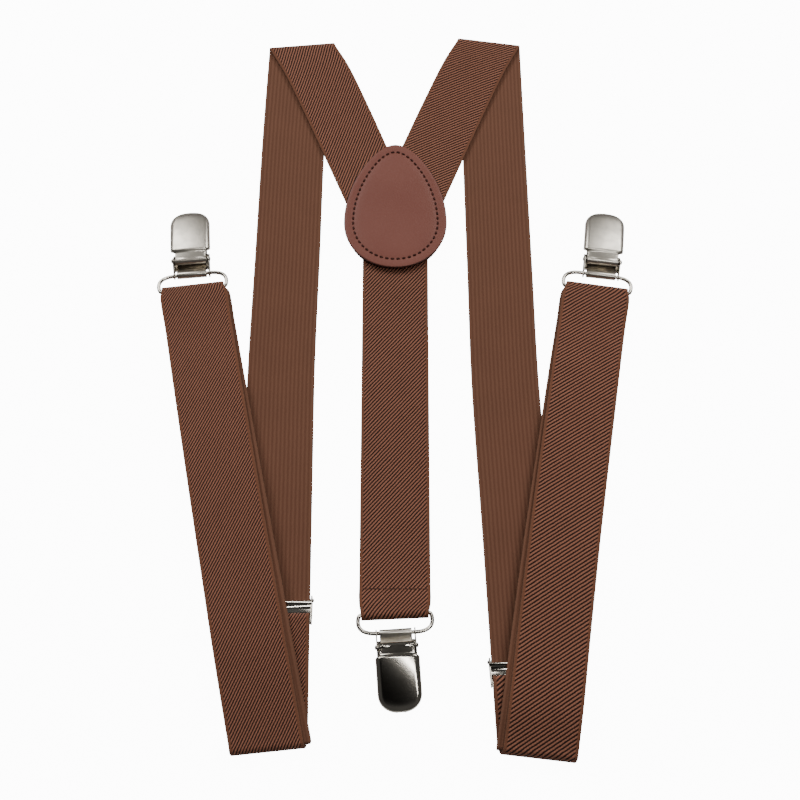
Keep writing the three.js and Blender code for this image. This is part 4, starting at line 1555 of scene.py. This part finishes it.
@dataclass
class Studio:
    """Camera, soft light and a pale table."""

    camera_mm: tuple[float, float, float] = (2.5, -290.2, 672.4)
    tilt: float = 22.0
    focal: float = 63.2
    dark_towards: tuple[float, float, float] = (0.0, -0.05, 1.0)
    dark_size: float = 0.15
    dark_level: float = 0.03
    sky_level: float = 1.5
    white_glow: float = 12.0
    table_reach: float = 60.0
    room_grey: float = 0.05

    def camera(self) -> None:
        """Place the camera above the near edge, tilted towards the straps."""
        data = bpy.data.cameras.new("camera")
        data.lens = self.focal
        data.sensor_width = 36
        data.clip_start = 0.01
        made = bpy.data.objects.new("camera", data)
        made.location = Vector(self.camera_mm) * MM
        made.rotation_euler = (math.radians(self.tilt), 0, 0)
        bpy.context.scene.collection.objects.link(made)
        bpy.context.scene.camera = made

    def area(self, name: str, at: Sequence[float], size: Sequence[float], power: float) -> None:
        """Add a soft lamp that looks at the middle of the table.

        Args:
            name: the lamp's name.
            at: where it hangs, in metres.
            size: its width and height, in metres.
            power: its power, in watts.
        """
        data = bpy.data.lights.new(name, "AREA")
        data.shape = "RECTANGLE"
        data.size, data.size_y = size
        data.energy = power
        made = bpy.data.objects.new(name, data)
        made.location = at
        made.rotation_euler = (-Vector(at)).to_track_quat("-Z", "Y").to_euler()
        bpy.context.scene.collection.objects.link(made)

    def sky(self) -> None:
        """Light the room: pale all round, with a dark patch overhead that bright metal mirrors."""
        world = bpy.data.worlds.new("studio")
        world.use_nodes = True
        tree = world.node_tree
        background = tree.nodes["Background"]
        background.inputs["Color"].default_value = (*[self.room_grey] * 3, 1)
        at = tree.nodes.new("ShaderNodeTexCoord")
        squeeze = tree.nodes.new("ShaderNodeVectorMath")
        squeeze.operation = "MULTIPLY"
        squeeze.inputs[1].default_value = (0.6, 0.5, 1)
        shift = tree.nodes.new("ShaderNodeVectorMath")
        shift.operation = "DISTANCE"
        shift.inputs[1].default_value = self.dark_towards
        rise = tree.nodes.new("ShaderNodeMapRange")
        rise.interpolation_type = "SMOOTHSTEP"
        rise.inputs["From Min"].default_value = self.dark_size
        rise.inputs["From Max"].default_value = self.dark_size + 0.2
        rise.inputs["To Min"].default_value = self.dark_level
        rise.inputs["To Max"].default_value = self.sky_level
        tree.links.new(at.outputs["Generated"], squeeze.inputs[0])
        tree.links.new(squeeze.outputs[0], shift.inputs[0])
        tree.links.new(shift.outputs["Value"], rise.inputs["Value"])
        seen = tree.nodes.new("ShaderNodeLightPath")
        level = tree.nodes.new("ShaderNodeMath")
        level.operation = "MULTIPLY_ADD"
        level.inputs[1].default_value = self.white_glow / self.room_grey
        tree.links.new(seen.outputs["Is Camera Ray"], level.inputs[0])
        tree.links.new(rise.outputs[0], level.inputs[2])
        tree.links.new(level.outputs[0], background.inputs["Strength"])
        bpy.context.scene.world = world

    def table(self) -> None:
        """Lay a pale table under the suspenders, bright enough to lose its shadows."""
        mesh = bpy.data.meshes.new("table")
        reach = self.table_reach
        corners = [(-reach, -reach, 0), (reach, -reach, 0), (reach, reach, 0), (-reach, reach, 0)]
        mesh.from_pydata(corners, [], [(0, 1, 2, 3)])
        made = show("table", mesh, Matrix.Translation((0, 0, -0.0004)))
        g = Graph("table")
        seen = g.node("LightPath").outputs["Is Camera Ray"]
        mesh.materials.append(
            g.finish(
                Base_Color=(0.8, 0.8, 0.8, 1),
                Roughness=0.9,
                Specular_IOR_Level=0.1,
                Emission_Color=(1, 1, 1, 1),
                Emission_Strength=g.math("MULTIPLY", seen, self.white_glow),
            )
        )

    def build(self) -> None:
        """Set the whole studio up."""
        self.camera()
        self.sky()
        self.area("left key", (-0.8, 1.0, 1.2), (1.0, 0.8), 16)
        self.area("right key", (0.8, 1.0, 1.2), (1.0, 0.8), 14)
        self.area("strip", (0.24, -0.25, 1.5), (0.07, 1.1), 4.5)
        self.table()


def main() -> None:
    """Build the suspenders piece by piece."""
    logging.basicConfig(level=logging.INFO, format="%(name)s: %(message)s")
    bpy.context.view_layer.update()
    Studio().build()
    log.info("studio set up")
    finishes = Finishes()
    for side in Side:
        FrontHalf(side, finishes).build()
    BackStrap(finishes).build()
    Patch().build(finishes)
    log.info("patch sewn")
    for side in Side:
        Adjuster().build(side, finishes)
        log.info("%s adjuster fitted", side.value)
    for name in ("left", "right", "back"):
        WireLoop().build(name, finishes)
        Clip().build(name, finishes, finishes.mirror if name == "back" else finishes.satin)
        log.info("%s clip hung", name)


if __name__ == "__main__":
    main()
